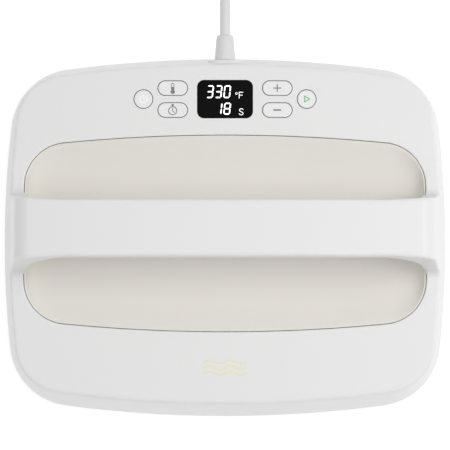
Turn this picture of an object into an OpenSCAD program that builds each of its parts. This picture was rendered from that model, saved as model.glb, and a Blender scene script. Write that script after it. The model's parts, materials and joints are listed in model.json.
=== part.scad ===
// Hand-held rectangular heat press: heated plate, flared housing, strap handle over a dished
// well, button panel with display, and a mains cord with its coil and plug.
// Origin: centre of the footprint, on the table. +X right, +Y to the cord side, +Z up.

/* [Heating plate] */
// Length of the heating plate, left to right
plate_x = 305; // [254:1:370]
// Width of the heating plate, front to back
plate_y = 254; // [210:1:305]
// Thickness of the heating plate
plate_t = 10; // [8.5:0.5:12]
// Height of the plate's edge that shows below the housing
plate_reveal = 6; // [4:0.5:7]
// Radius of the heating element's sheath
element_r = 4; // [3:0.25:4.5]
// Distance of the element's outer loop from the plate's side edges
element_inset_x = 27.5; // [22:0.5:34]
// Distance of the element's outer loop from the plate's front and back edges
element_inset_y = 29; // [22:0.5:34]
// Distance between the element's outer and inner loops
element_pitch = 52; // [46:1:56]
// Thickness of the insulation blanket
blanket_t = 6; // [4:0.5:7]
// Thickness of the heat shield's sheet
shield_t = 1; // [0.6:0.1:1.4]

/* [Housing] */
// How far the housing reaches past the plate at the left and right
side_margin = 11.5; // [10.5:0.5:18]
// How far the housing reaches past the plate at the front and back
end_margin = 6; // [6:0.5:14]
// Height of the deck above the table
deck_h = 52.4; // [48:0.2:60]
// Thickness of the deck
deck_t = 3.6; // [3.2:0.1:4.5]
// How far the outer wall leans in between its foot and the deck
wall_lean = 10; // [6:0.5:12]
// Wall thickness of the housing
wall = 2.6; // [2:0.1:3.2]
// Plan radius of the housing's corners at the foot
corner_r = 48; // [40:1:56]
// Plan radius of the bowed front and back
end_bow_r = 890; // [700:10:1600]
// Plan radius of the bowed sides
side_bow_r = 745; // [600:10:1600]
// Gap at each parting line
seam = 0.4; // [0.3:0.05:0.6]

/* [Well] */
// Width of the deck between the well and the front or back edge
deck_band = 51.6; // [48:0.2:60]
// Width of the rim between the well and the side edge
rim_w = 8.2; // [7:0.2:12]
// Depth of the well below the deck
well_depth = 14.9; // [12:0.1:16]
// Plan radius of the well's corners
well_corner_r = 32; // [24:1:36]
// Thickness of the well tray
tray_t = 2.4; // [1.8:0.1:3]

/* [Handle] */
// Height of the handle's top above the table
handle_top = 118; // [112:1:142]
// Width of the handle, front to back
handle_w = 39; // [32:0.5:48]
// Thickness of the handle at its middle
handle_t = 26; // [22:0.5:31]
// How far the legs' outer faces lean in from deck to top
handle_lean = 11; // [8:0.5:14]
// Radius between the handle's top and the legs' outer faces
shoulder_r = 9; // [6:0.5:14]
// Radius between the handle's underside and the legs' inner faces
armpit_r = 29; // [20:0.5:32]
// Thickness of the handle's mouldings
handle_wall = 3; // [2.4:0.1:3.4]
// Radius of the fillet where the legs meet the rim
root_r = 13; // [5:0.5:14]

/* [Panel] */
// Distance of the panel's centre line from the deck's back edge
panel_inset = 25.7; // [25:0.1:28]
// Diameter of the round buttons
round_d = 14.3; // [11:0.1:17.2]
// Length of the long buttons
pill_l = 22.2; // [18:0.1:24]
// Width of the long buttons
pill_w = 11.4; // [9:0.1:12.4]
// Distance from the display's end to the long buttons
pill_gap = 6.9; // [5:0.1:9]
// Distance between the two rows of long buttons
pill_pitch = 16; // [15.4:0.1:18]
// Distance from the long buttons to the round buttons
round_gap = 3.05; // [2.5:0.05:6]
// Length of the display window
display_l = 39.8; // [36:0.1:42]
// Width of the display window
display_w = 27.3; // [24:0.1:32]
// Corner radius of the display window
display_r = 4.8; // [3:0.1:6]
// Travel of the buttons
travel = 0.6; // [0.3:0.05:0.8]
// Gap around each button
button_gap = 0.45; // [0.35:0.05:0.6]

/* [Cord] */
// Diameter of the mains cord
cord_d = 7.5; // [6.5:0.1:8]
// Height of the cord's exit above the heat shield
exit_rise = 9; // [9:0.1:9.6]
// Length of the strain relief outside the wall
relief_l = 19; // [18:0.5:30]
// Radius of the strain relief at the wall
relief_root_r = 7.7; // [7:0.1:9]
// Radius of the strain relief at its tip
relief_tip_r = 6.2; // [5.6:0.1:6.8]

/* [Hidden] */
$fn = 64;

// ---- Colours ----
SHELL = "#f1f1f2";
CREAM = "#dedad2";
STEEL = "silver";
BOARD = "darkgreen";

// ---- Housing levels and half sizes ----
body_hx = plate_x / 2 + side_margin;
body_hy = plate_y / 2 + end_margin;
foot_z = plate_reveal;
parting_z = deck_h - deck_t;             // underside of the deck
housing_top_z = parting_z - seam;        // top edge of the base housing
foot_round = 1.5;                        // height of the rounded foot edge
deck_round = 2.4;                        // size of the rounded deck edge
deck_hx = body_hx - wall_lean;
deck_hy = body_hy - wall_lean;
well_hx = deck_hx - rim_w;
well_hy = deck_hy - deck_band;
well_end_bow_r = 1200;
well_side_bow_r = 1500;

// ---- Levels and places that several pieces share ----
blanket_z = plate_t + 3;
shield_z = blanket_z + blanket_t + 1;
pill_x = display_l / 2 + pill_gap + pill_l / 2;
round_x = pill_x + pill_l / 2 + round_gap + round_d / 2;
board_hx = round_x + 12.8;               // half length of the control board

// ---- Plan outlines: two bow arcs and a corner arc, tangent, mirrored into four quadrants ----
side_steps = 2;
corner_steps = 8;
end_steps = 3;

// Centre of the corner arc of an outline with the given half sizes and radii
function corner_centre(hx, hy, end_r, side_r, r) =
    let (k1 = hy - end_r, k2 = hx - side_r, d = norm([k1, k2]),
         r1 = end_r - r, r2 = side_r - r,
         m = (r1 * r1 - r2 * r2 + d * d) / (2 * d), h = sqrt(r1 * r1 - m * m))
    [(m * k2 - h * k1) / d, k1 - (m * k1 + h * k2) / d];

function quadrant(hx, hy, end_r, side_r, r) =
    let (c = corner_centre(hx, hy, end_r, side_r, r), k1 = hy - end_r, k2 = hx - side_r,
         a1 = atan2(c[1], c[0] - k2), a2 = atan2(c[1] - k1, c[0]))
    concat(
        [for (i = [0 : side_steps - 1]) let (a = a1 * i / side_steps)
            [k2 + side_r * cos(a), side_r * sin(a)]],
        [for (i = [0 : corner_steps - 1]) let (a = a1 + (a2 - a1) * i / corner_steps)
            c + r * [cos(a), sin(a)]],
        [for (i = [0 : end_steps - 1]) let (a = a2 + (90 - a2) * i / end_steps)
            [end_r * cos(a), k1 + end_r * sin(a)]]);

function outline(hx, hy, end_r, side_r, r) =
    let (q = quadrant(hx, hy, end_r, side_r, r), n = len(q))
    concat(q, [[0, hy]], [for (i = [n - 1 : -1 : 1]) [-q[i][0], q[i][1]]],
        [for (p = q) -p], [[0, -hy]], [for (i = [n - 1 : -1 : 1]) [q[i][0], -q[i][1]]]);

// The housing's outline moved in by a distance, all its arcs keeping their centres
function body_ring(inset) = outline(body_hx - inset, body_hy - inset,
    end_bow_r - inset, side_bow_r - inset, corner_r - inset);
// The plate's outline, with the housing's bows, moved in by a distance
function plate_ring(inset) = outline(plate_x / 2 - inset, plate_y / 2 - inset,
    end_bow_r - end_margin - inset, side_bow_r - end_margin - inset,
    corner_r - end_margin - inset);
function well_ring(inset_x, inset_y) = outline(well_hx - inset_x, well_hy - inset_y,
    well_end_bow_r, well_side_bow_r, well_corner_r - min(inset_x, inset_y));

// How far a bowed edge reaches at a distance along it
function reach(half, bow_r, along) = half - bow_r + sqrt(bow_r * bow_r - along * along);
// Inset of the outer wall at a height
function lean_at(z) = wall_lean * (z - foot_z) / (housing_top_z - foot_z);
function wall_inner_y(x, z) = reach(body_hy, end_bow_r, x) - lean_at(z) - wall;
function wall_inner_x(y, z) = reach(body_hx, side_bow_r, y) - lean_at(z) - wall;

// Solid through a stack of [outline, height] rings
module loft(rings) {
    n = len(rings[0][0]);
    m = len(rings);
    polyhedron(
        points = [for (r = rings) for (p = r[0]) [p[0], p[1], r[1]]],
        faces = concat(
            [[for (i = [0 : n - 1]) i]],
            [[for (i = [n - 1 : -1 : 0]) (m - 1) * n + i]],
            [for (j = [0 : m - 2]) for (i = [0 : n - 1]) let (k = (i + 1) % n)
                [j * n + i, (j + 1) * n + i, (j + 1) * n + k, j * n + k]]));
}

// Flat ring or plate from an outline, between two heights
module slab(points, z0, z1) {
    translate([0, 0, z0]) linear_extrude(z1 - z0) polygon(points);
}

module mirrored_x() { for (s = [-1, 1]) scale([s, 1, 1]) children(); }
module four_corners(x, y) { for (sx = [-1, 1], sy = [-1, 1]) translate([sx * x, sy * y, 0]) children(); }

// Outline of a rectangle with round corners, from exact arcs
module rounded_rectangle(l, w, r) {
    square([l - 2 * r, w], center = true);
    square([l, w - 2 * r], center = true);
    four_corners(l / 2 - r, w / 2 - r) circle(r);
}

// Screw with a pan head and a cross recess, head down at z = 0, shank going up
module screw(head_r, head_h, shank_r, length) {
    slot_w = head_r * 0.32;
    difference() {
        union() {
            cylinder(h = head_h, r = head_r);
            cylinder(h = head_h + length, r = shank_r);
        }
        for (a = [0, 90]) rotate(a) translate([-head_r * 0.6, -slot_w / 2, -1])
            cube([head_r * 1.2, slot_w, 1 + head_h * 0.6]);
    }
}
thread_gap = 0.05;                       // clearance of a screw in the hole it is driven into
pass_gap = 0.3;                          // clearance of a screw in the hole it passes through

// ---- Places of the fasteners ----
housing_screw_r = 1.5;
housing_boss_r = 3.8;
housing_boss_x = board_hx + 10;
tab_t = 3;                               // thickness of the tabs inside the housing
tab_z = shield_z + shield_t + 3;         // underside of the tabs
body_corner = corner_centre(body_hx, body_hy, end_bow_r, side_bow_r, corner_r);
corner_boss_reach = corner_r - wall_lean - wall - 6;
corner_boss = body_corner + corner_boss_reach * [cos(45), sin(45)];
row_boss_y = reach(deck_hy, end_bow_r - wall_lean, housing_boss_x + 20) - wall - 4.6;
module at_housing_screws() {
    four_corners(housing_boss_x, row_boss_y) children();
    four_corners(corner_boss[0], corner_boss[1]) children();
}

tray_ear_l = 8.5;                        // reach of the tray's ears past the well
tray_ear_w = 10;
tray_ear_t = 2.4;
tray_screw_r = 1.3;
tray_ear_xs = [40, 95];
function well_reach(x) = reach(well_hy, well_end_bow_r, x);
module at_tray_screws() {
    for (x = tray_ear_xs) four_corners(x, well_reach(x) + 4.5) children();
}

shield_row_y = plate_y / 2 - 57;
shield_screw_ys = [-shield_row_y, 0, shield_row_y];
shield_screw_r = 1.25;
shield_screw_out = 2.7;                  // distance of the shield screws from the plate's edge
function shield_screw_x(y) = reach(plate_x / 2, side_bow_r - end_margin, y) + shield_screw_out;
module at_shield_screws() {
    for (s = [-1, 1]) for (y = shield_screw_ys) translate([s * shield_screw_x(y), y, 0]) children();
}

plate_screw_r = 2;
spacer_r = 4;
spacer_outer_x = plate_x / 2 - element_inset_x - element_pitch / 2;
spacer_y = plate_y / 2 - element_inset_y - element_pitch / 2 + 5;
spacer_inner_x = 30;
module at_plate_screws() {
    four_corners(spacer_outer_x, spacer_y) children();
    four_corners(spacer_inner_x, spacer_y) children();
}

// ---- Heating plate module ----
element_z = plate_t - 1.5;               // the sheath lies sunk in its groove
element_bend_r = 14;
groove_gap = 0.1;
loop_ox = plate_x / 2 - element_inset_x;
loop_oy = plate_y / 2 - element_inset_y;
loop_ix = loop_ox - element_pitch;
loop_iy = loop_oy - element_pitch;
terminal_x = 14;
terminal_in_y = -loop_iy + 24;           // height of the inner terminal's end along Y
terminal_out_y = -loop_oy + 36;
terminal_top = shield_z + shield_t + 5;
terminal_pin_r = 2.2;
// The sheath's route: inner loop, crossover to the outer loop, and back to the terminals
element_route = [[-terminal_x, terminal_in_y], [-terminal_x, -loop_iy], [-loop_ix, -loop_iy],
    [-loop_ix, loop_iy], [loop_ix, loop_iy], [loop_ix, -loop_oy], [loop_ox, -loop_oy],
    [loop_ox, loop_oy], [-loop_ox, loop_oy], [-loop_ox, -loop_oy], [terminal_x, -loop_oy],
    [terminal_x, terminal_out_y]];
function direction(a, b) = (b - a) / norm(b - a);

// Round tube along the route, with quarter bends at its corners
module element_tube(r) {
    last = len(element_route) - 1;
    for (i = [0 : last - 1]) {
        a = element_route[i];
        b = element_route[i + 1];
        d = direction(a, b);
        a_trim = i == 0 ? 0 : element_bend_r;
        b_trim = i == last - 1 ? 0 : element_bend_r;
        p = a + d * a_trim;
        translate([p[0], p[1], element_z]) rotate([0, 90, atan2(d[1], d[0])])
            cylinder(h = norm(b - a) - a_trim - b_trim, r = r);
    }
    for (i = [1 : last - 1]) {
        v = element_route[i];
        d1 = direction(element_route[i - 1], v);
        d2 = direction(v, element_route[i + 1]);
        c = v + element_bend_r * (d2 - d1);
        left = d1[0] * d2[1] - d1[1] * d2[0] > 0;
        start = left ? atan2(-d2[1], -d2[0]) : atan2(-d2[1], -d2[0]) - 90;
        translate([c[0], c[1], element_z]) rotate(start)
            rotate_extrude(angle = 90) translate([element_bend_r, 0]) circle(r);
    }
}
module at_terminals() {
    translate([-terminal_x, terminal_in_y, 0]) children();
    translate([terminal_x, terminal_out_y, 0]) children();
}

module sole_plate() {
    edge = 1.2;                          // rounded lower edge
    color("#3c3e42") difference() {
        loft([[plate_ring(edge), 0], [plate_ring(0.3 * edge), 0.3 * edge],
            [plate_ring(0), edge], [plate_ring(0), plate_t]]);
        element_tube(element_r + groove_gap);
        at_terminals() translate([0, 0, element_z - element_r - groove_gap])
            cylinder(h = plate_t, r = element_r + groove_gap);
        at_plate_screws() translate([0, 0, plate_t - 6]) cylinder(h = 7, r = plate_screw_r + thread_gap);
    }
}

module heating_element() {
    color(STEEL) {
        element_tube(element_r);
        at_terminals() translate([0, 0, element_z - element_r])
            cylinder(h = terminal_top - element_z + element_r, r = terminal_pin_r);
    }
}

module element_terminals() {
    bead_r = 4.2;
    bead_z = shield_z - 1;
    sleeve_h = lead_z - element_lead_r - 1.2 - bead_z;   // its top stays clear below the leads
    color("ivory") at_terminals() translate([0, 0, bead_z]) difference() {
        union() {
            cylinder(h = sleeve_h, r = bead_r - 0.6);
            translate([0, 0, shield_t + 1.2]) cylinder(h = 2, r = bead_r + 1);
        }
        translate([0, 0, -1]) cylinder(h = 8, r = terminal_pin_r + 0.05);
    }
}

sensor_x = 8;
sensor_y = loop_iy / 2 - 1;              // just in front of halfway to the inner loop's back run
fuse_y = -6;
module centre_window(z0, z1) {
    translate([-14, fuse_y - 10, z0]) cube([28, sensor_y - fuse_y + 20, z1 - z0]);
}

module insulation_blanket() {
    color("#e8e6dc") difference() {
        slab(plate_ring(4), blanket_z, blanket_z + blanket_t);
        at_plate_screws() cylinder(h = shield_z, r = spacer_r + 0.5);
        at_terminals() cylinder(h = shield_z, r = element_r + 0.5);
        centre_window(0, shield_z);
    }
}

module heat_shield() {
    ear_w = 11;
    hole_r = 5;                          // hole for the terminals' ceramic beads
    color("#c9ccd0") difference() {
        union() {
            slab(plate_ring(2), shield_z, shield_z + shield_t);
            for (s = [-1, 1]) for (y = shield_screw_ys) scale([s, 1, 1])
                translate([shield_screw_x(y) - 14, y - ear_w / 2, shield_z])
                    cube([14 + 1.9, ear_w, shield_t]);
        }
        at_shield_screws() cylinder(h = 2 * shield_z, r = shield_screw_r + pass_gap);
        at_plate_screws() cylinder(h = 2 * shield_z, r = plate_screw_r + pass_gap);
        at_terminals() cylinder(h = 2 * shield_z, r = hole_r);
        translate([sensor_x, sensor_y, 0]) cylinder(h = 2 * shield_z, r = 3.4);
    }
}

module plate_spacers() {
    color(STEEL) at_plate_screws() translate([0, 0, plate_t]) difference() {
        cylinder(h = shield_z - plate_t, r = spacer_r);
        translate([0, 0, -1]) cylinder(h = shield_z, r = plate_screw_r + pass_gap);
    }
}

module plate_screws() {
    length = shield_z + shield_t - plate_t + 5;
    color("gray") at_plate_screws() translate([0, 0, shield_z + shield_t + 2.2]) mirror([0, 0, 1])
        screw(3.6, 2.2, plate_screw_r, length);
}

module shield_screws() {
    color("gray") at_shield_screws() translate([0, 0, shield_z - 1.8])
        screw(2.4, 1.8, shield_screw_r, shield_t + 5);
}

module temperature_sensor() {
    color("gold") {
        translate([sensor_x, sensor_y, plate_t]) cylinder(h = 2, r = 5);
        translate([sensor_x, sensor_y, plate_t]) cylinder(h = blanket_t, r = 2.2);
    }
}

module thermal_fuse() {
    fuse_r = 2.1;
    color("lightsteelblue") translate([0, fuse_y, plate_t + fuse_r]) rotate([0, 90, 0]) {
        translate([0, 0, -6]) cylinder(h = 12, r = fuse_r);
        translate([0, 0, -10]) cylinder(h = 20, r = 0.6);
    }
}

module plate_gasket() {
    squeeze = 0.15;                      // gap to the plate and to the wall
    gasket_z0 = foot_z + 1;
    gasket_z1 = foot_z + 3.4;
    color("#55585c") difference() {
        slab(body_ring(lean_at(gasket_z1) + wall + squeeze), gasket_z0, gasket_z1);
        slab(plate_ring(-squeeze), gasket_z0 - 1, gasket_z1 + 1);
    }
}

// ---- Cord exit ----
cord_z = shield_z + shield_t + exit_rise;
exit_wall_y = body_hy - lean_at(cord_z);             // outer face of the wall at the exit
collar_face_y = exit_wall_y + 0.7;                   // flat face that the relief seats on
relief_y0 = collar_face_y + 0.3;
relief_y1 = relief_y0 + relief_l;
relief_neck_r = 6;
collar_l = 26;
collar_w = 17.6;
collar_in = 8;                                       // depth of the collar behind the wall
relief_flange_w = 1.6;                               // the relief's flange behind the collar
relief_flange_t = 2.2;
shelf_z = cord_z - cord_d / 2 - 0.05;                // the cord lies on this shelf

module along_y(y) { translate([0, y, cord_z]) rotate([-90, 0, 0]) children(); }

module base_housing() {
    mid_z = (foot_z + housing_top_z) / 2;
    shelf_t = shelf_z - shield_z - shield_t - 1;
    color(SHELL) difference() {
        union() {
            difference() {
                loft([[body_ring(1.1), foot_z], [body_ring(0), foot_z + foot_round],
                    [body_ring(lean_at(mid_z) - 0.5), mid_z], [body_ring(wall_lean), housing_top_z]]);
                loft([[body_ring(wall), foot_z - 1], [body_ring(wall), foot_z + foot_round],
                    [body_ring(lean_at(mid_z) - 0.5 + wall), mid_z],
                    [body_ring(wall_lean + wall), housing_top_z],
                    [body_ring(wall_lean + wall), housing_top_z + 1]]);
            }
            // tabs that the top shell is screwed to
            for (sx = [-1, 1], sy = [-1, 1]) scale([sx, sy, 1]) {
                translate([housing_boss_x - 5, row_boss_y - 4.5, tab_z])
                    cube([10, wall_inner_y(housing_boss_x, tab_z) + 1 - row_boss_y + 4.5, tab_t]);
                translate([body_corner[0], body_corner[1], tab_z]) rotate(45)
                    translate([corner_boss_reach - 4.5, -5, 0])
                        cube([corner_r - lean_at(tab_z + tab_t) - wall + 1.4 - corner_boss_reach + 4.5,
                            10, tab_t]);
            }
            // tabs that the heat shield is screwed to
            for (s = [-1, 1]) for (y = shield_screw_ys) scale([s, 1, 1])
                translate([shield_screw_x(y) - 3.2, y - 5.5, shield_z + shield_t])
                    cube([wall_inner_x(y, shield_z + shield_t + 6) + 1.2 - shield_screw_x(y) + 3.2, 11, 6]);
            // collar and shelf for the cord
            along_y(exit_wall_y - collar_in) linear_extrude(collar_in + 0.7)
                rounded_rectangle(collar_l, collar_w, collar_w / 2 - 0.01);
            translate([-collar_l / 2, exit_wall_y - 22, shelf_z - shelf_t])
                cube([collar_l, 19, shelf_t]);
        }
        at_housing_screws() cylinder(h = 2 * tab_z, r = housing_screw_r + pass_gap);
        at_shield_screws() translate([0, 0, shield_z]) cylinder(h = 6.4, r = shield_screw_r + thread_gap);
        along_y(exit_wall_y - 14) cylinder(h = 30, r = relief_neck_r + 0.15);
        along_y(collar_face_y) cylinder(h = 20, r = relief_root_r + 0.5);
        along_y(exit_wall_y - collar_in - relief_flange_t - 1.4)
            cylinder(h = relief_flange_t + 1.4, r = relief_neck_r + relief_flange_w + 0.5);
        at_clamp_screws() translate([0, 0, shelf_z - 3.4]) cylinder(h = 5, r = clamp_screw_r + thread_gap);
    }
}

// ---- Top shell ----
arch_foot_z = parting_z;
arch_top_hx = deck_hx - handle_lean;                 // half length of the handle's top, before its shoulders
under_z = handle_top - handle_t;
arc_steps = 8;

// Outer line of the arch, from foot to foot, moved in by a distance
function arch_outer(inset) =
    let (a = atan2(handle_top - arch_foot_z, -handle_lean), r = shoulder_r - min(inset, shoulder_r - 1),
         top = handle_top - inset,
         foot_x = deck_hx - inset / sin(a),
         cz = top - r,
         cx = foot_x + (cz - arch_foot_z) * cos(a) / sin(a) - r / sin(a),
         right = concat([[foot_x, arch_foot_z]],
             [for (i = [0 : arc_steps]) let (t = (a - 90) + (90 - (a - 90)) * i / arc_steps)
                 [cx + r * cos(t), cz + r * sin(t)]]),
         n = len(right))
    concat(right, [for (i = [n - 1 : -1 : 0]) [-right[i][0], right[i][1]]]);

// Inner line of the arch, moved out by a distance, starting at a height
function arch_inner(outset, z0) =
    let (r = armpit_r + outset, cz = under_z - armpit_r, cx = well_hx - 4.8 - armpit_r,
         right = concat([[well_hx + outset, z0], [well_hx + outset, min(z0 + 1, cz - 2)]],
             [for (i = [0 : arc_steps]) let (t = 90 * i / arc_steps) [cx + r * cos(t), cz + r * sin(t)]]),
         n = len(right))
    concat(right, [for (i = [n - 1 : -1 : 0]) [-right[i][0], right[i][1]]]);

// Extrudes a shape drawn in X and Z along Y, centred, to a width
module across(width) {
    translate([0, width / 2, 0]) rotate([90, 0, 0]) linear_extrude(width) children();
}
grip_w = handle_w - 2 * handle_wall - 0.6;           // the liner sits between the arch's side walls
grip_foot_z = deck_h + 0.3;
grip_screw_xs = [-84, -28, 28, 84];
grip_screw_r = 1.4;
module at_grip_screws() { for (x = grip_screw_xs) translate([x, 0, 0]) children(); }

panel_y = deck_hy - panel_inset;
PILLS = [[-pill_x, pill_pitch / 2], [-pill_x, -pill_pitch / 2],
    [pill_x, pill_pitch / 2], [pill_x, -pill_pitch / 2]];
ROUNDS = [[-round_x, 0], [round_x, 0]];
module at_panel(p) { translate([p[0], panel_y + p[1], 0]) children(); }

module pill_outline(grow) {
    r = pill_w / 2 + grow;
    square([pill_l - pill_w, 2 * r], center = true);
    for (s = [-1, 1]) translate([s * (pill_l - pill_w) / 2, 0]) circle(r);
}

board_t = 1.6;
board_top = parting_z - 7.8;
board_y0 = panel_y - 15.3;
board_y1 = panel_y + 13.6;
board_screw_r = 1.25;
board_boss_r = 2.9;
module at_board_screws() {
    for (s = [-1, 1]) for (y = [board_y0 + 3.4, board_y1 - 3.2])
        translate([s * (board_hx - 3.6), y, 0]) children();
}

power_board_z = parting_z - 21;
power_board_hx = 66;
power_board_y1 = -(well_hy + 6.2);
power_board_y0 = -(row_boss_y + 2.4);
module at_power_screws() {
    for (s = [-1, 1]) for (y = [power_board_y0 + 3.6, power_board_y1 - 3.6])
        translate([s * (power_board_hx - 3.6), y, 0]) children();
}

module hanging_boss(r, hole_r, z) {
    translate([0, 0, z]) difference() {
        cylinder(h = parting_z + 0.5 - z, r = r);
        translate([0, 0, -1]) cylinder(h = min(parting_z - z, 9), r = hole_r);
    }
}

module top_shell() {
    tongue = 3;                                      // lip that drops inside the base housing
    tongue_in = wall_lean + wall + 0.3;
    color(SHELL) {
        difference() {
            union() {
                loft([[body_ring(wall_lean), parting_z], [body_ring(wall_lean + 0.5), deck_h - 1.7],
                    [body_ring(wall_lean + 1.1), deck_h - 0.6], [body_ring(wall_lean + deck_round), deck_h]]);
                difference() {
                    slab(body_ring(tongue_in), parting_z - tongue, parting_z + 0.5);
                    slab(body_ring(tongue_in + 1.6), parting_z - tongue - 1, parting_z + 1);
                }
                across(handle_w) difference() {
                    polygon(arch_outer(0));
                    polygon(arch_inner(0, arch_foot_z - 1));
                }
                arch_roots();
            }
            slab(well_ring(0, 0), parting_z - 1, deck_h + 0.2);
            across(handle_w - 2 * handle_wall) intersection() {
                difference() {
                    polygon(arch_outer(handle_wall));
                    polygon(arch_inner(-1, deck_h - 9));
                }
                translate([-body_hx, deck_h]) square([2 * body_hx, handle_top]);
            }
            translate([0, 0, parting_z - 1]) linear_extrude(deck_t + 2) {
                at_panel([0, 0])
                    rounded_rectangle(display_l + 2 * seam, display_w + 2 * seam, display_r + seam);
                for (p = PILLS) at_panel(p) pill_outline(0);
                for (p = ROUNDS) at_panel(p) circle(d = round_d);
            }
            at_tray_screws() translate([0, 0, parting_z - 1])
                cylinder(h = 1 + 2.5, r = tray_screw_r + thread_gap);
        }
        at_housing_screws() hanging_boss(housing_boss_r, housing_screw_r + thread_gap, tab_z + tab_t + 0.1);
        at_board_screws() hanging_boss(board_boss_r, board_screw_r + thread_gap, board_top + 0.05);
        at_power_screws() hanging_boss(board_boss_r, board_screw_r + thread_gap,
            power_board_z + board_t + 0.05);
        at_grip_screws() translate([0, 0, under_z + handle_wall + 0.2]) difference() {
            cylinder(h = handle_t - 2 * handle_wall + 1, r = 4);
            translate([0, 0, -1]) cylinder(h = 13, r = grip_screw_r + thread_gap);
        }
    }
}

// Fillets that widen the arch's legs where they meet the rim
module arch_roots() {
    leg_out = deck_hx - 0.9;
    for (sx = [-1, 1], sy = [-1, 1]) scale([sx, sy, 1])
        translate([well_hx + 0.4, handle_w / 2, deck_h - 0.6]) rotate([90, 0, 90])
            linear_extrude(leg_out - well_hx - 2.6) difference() {
                translate([-0.5, 0]) square([root_r + 0.5, root_r + 0.6]);
                translate([root_r, root_r + 0.6]) circle(root_r);
            }
}

module grip_underside() {
    color(CREAM) {
        difference() {
            across(grip_w) intersection() {
                difference() {
                    polygon(arch_inner(handle_wall, deck_h - 9));
                    polygon(arch_inner(0, deck_h - 10));
                }
                translate([-body_hx, grip_foot_z]) square([2 * body_hx, handle_top]);
            }
            at_grip_screws() {
                cylinder(h = under_z + 1.9, r = 3);
                cylinder(h = handle_top, r = grip_screw_r + pass_gap);
            }
        }
    }
}

module grip_screws() {
    color("gray") at_grip_screws() translate([0, 0, under_z + 0.2]) screw(2.7, 1.6, grip_screw_r, 11);
}

module housing_screws() {
    color("gray") at_housing_screws() translate([0, 0, tab_z - 2])
        screw(3.2, 2, housing_screw_r, tab_t + 8);
}

module tray_screws() {
    color("gray") at_tray_screws() translate([0, 0, parting_z - 0.1 - tray_ear_t - 1.6])
        screw(2.6, 1.6, tray_screw_r, tray_ear_t + 2.4);
}

// ---- Well tray: a bowl across Y with steep ends, in a straight lip ----
floor_hy = 14;
floor_corner_r = 6;                                  // corner radius of the bowl's floor
end_run = 20;                                        // how far the bowl's ends run in
dish_steps = 6;
tray_top = deck_h - 0.9;
tray_lip = 1.2;
function dish_z(t) = tray_top - (well_depth - 0.9) * (1 - (1 - t) * (1 - t));
function dish_ring(t, grow) = outline(
    well_hx - seam - tray_lip - end_run * t * t + grow,
    (well_hy - seam - tray_lip) * (1 - t) + floor_hy * t + grow,
    well_end_bow_r, well_side_bow_r,
    (well_corner_r - 2) * (1 - t) + floor_corner_r * t + grow);

module well_tray() {
    color(CREAM) difference() {
        union() {
            loft(concat(
                [for (i = [dish_steps : -1 : 0]) let (t = i / dish_steps)
                    [dish_ring(t, t > 0 ? 0.6 : tray_lip), dish_z(t) - tray_t]],
                [[dish_ring(0, tray_lip), tray_top]]));
            for (x = tray_ear_xs) for (sx = [-1, 1], sy = [-1, 1]) scale([sx, sy, 1])
                translate([x - tray_ear_w / 2, well_reach(x) - 5, parting_z - 0.1 - tray_ear_t])
                    cube([tray_ear_w, 5 + tray_ear_l, tray_ear_t]);
        }
        loft(concat(
            [for (i = [dish_steps : -1 : 0]) let (t = i / dish_steps) [dish_ring(t, 0), dish_z(t)]],
            [[dish_ring(0, 0), tray_top + 1]]));
        at_tray_screws() cylinder(h = deck_h, r = tray_screw_r + pass_gap);
    }
}

// ---- Panel ----
cap_top = deck_h + 0.3;
cap_flange_top = parting_z - 0.6;
cap_flange_t = 1.2;
plunger_top = cap_flange_top - cap_flange_t - 1;
switch_top = plunger_top - 1.5;
plunger_r = 1.6;

module round_cap() {
    edge = 0.5;
    r = round_d / 2 - button_gap;
    translate([0, 0, cap_flange_top - 0.2]) cylinder(h = cap_top - edge - cap_flange_top + 0.2, r = r);
    translate([0, 0, cap_top - edge]) cylinder(h = edge, r1 = r, r2 = r - edge);
    translate([0, 0, cap_flange_top - cap_flange_t]) cylinder(h = cap_flange_t, r = round_d / 2 + 0.8);
    translate([0, 0, plunger_top]) cylinder(h = 2, r = 2);
}

module pill_cap() {
    edge = 0.5;
    translate([0, 0, cap_flange_top - 0.2]) linear_extrude(cap_top - edge - cap_flange_top + 0.2)
        pill_outline(-button_gap);
    translate([0, 0, cap_top - edge - 0.01]) linear_extrude(edge + 0.01) pill_outline(-button_gap - edge / 2);
    translate([0, 0, cap_flange_top - cap_flange_t]) linear_extrude(cap_flange_t) pill_outline(0.8);
    translate([0, 0, plunger_top]) cylinder(h = 2, r = 2);
}

module plunger(p) {
    color("#303030") at_panel(p) translate([0, 0, switch_top - 1.3])
        cylinder(h = plunger_top - switch_top + 1.3, r = plunger_r);
}

module power_button() { color("#ececee") at_panel(ROUNDS[0]) round_cap(); }
module start_button() { color("#ececee") at_panel(ROUNDS[1]) round_cap(); }
module temperature_button() { color("#ececee") at_panel(PILLS[0]) pill_cap(); }
module timer_button() { color("#ececee") at_panel(PILLS[1]) pill_cap(); }
module plus_button() { color("#ececee") at_panel(PILLS[2]) pill_cap(); }
module minus_button() { color("#ececee") at_panel(PILLS[3]) pill_cap(); }
module power_switch_plunger() { plunger(ROUNDS[0]); }
module start_switch_plunger() { plunger(ROUNDS[1]); }
module temperature_switch_plunger() { plunger(PILLS[0]); }
module timer_switch_plunger() { plunger(PILLS[1]); }
module plus_switch_plunger() { plunger(PILLS[2]); }
module minus_switch_plunger() { plunger(PILLS[3]); }

module switch_bodies() {
    color("#202020") for (p = concat(PILLS, ROUNDS)) at_panel(p) difference() {
        translate([-3, -3, board_top]) cube([6, 6, switch_top - board_top]);
        translate([0, 0, switch_top - 1.3 - travel - 0.2])
            cylinder(h = 4, r = plunger_r + 0.08);
    }
}

module display_window() {
    color("#0c0d10") at_panel([0, 0]) translate([0, 0, deck_h - 2.3]) linear_extrude(2.1)
        rounded_rectangle(display_l, display_w, display_r);
}

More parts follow.
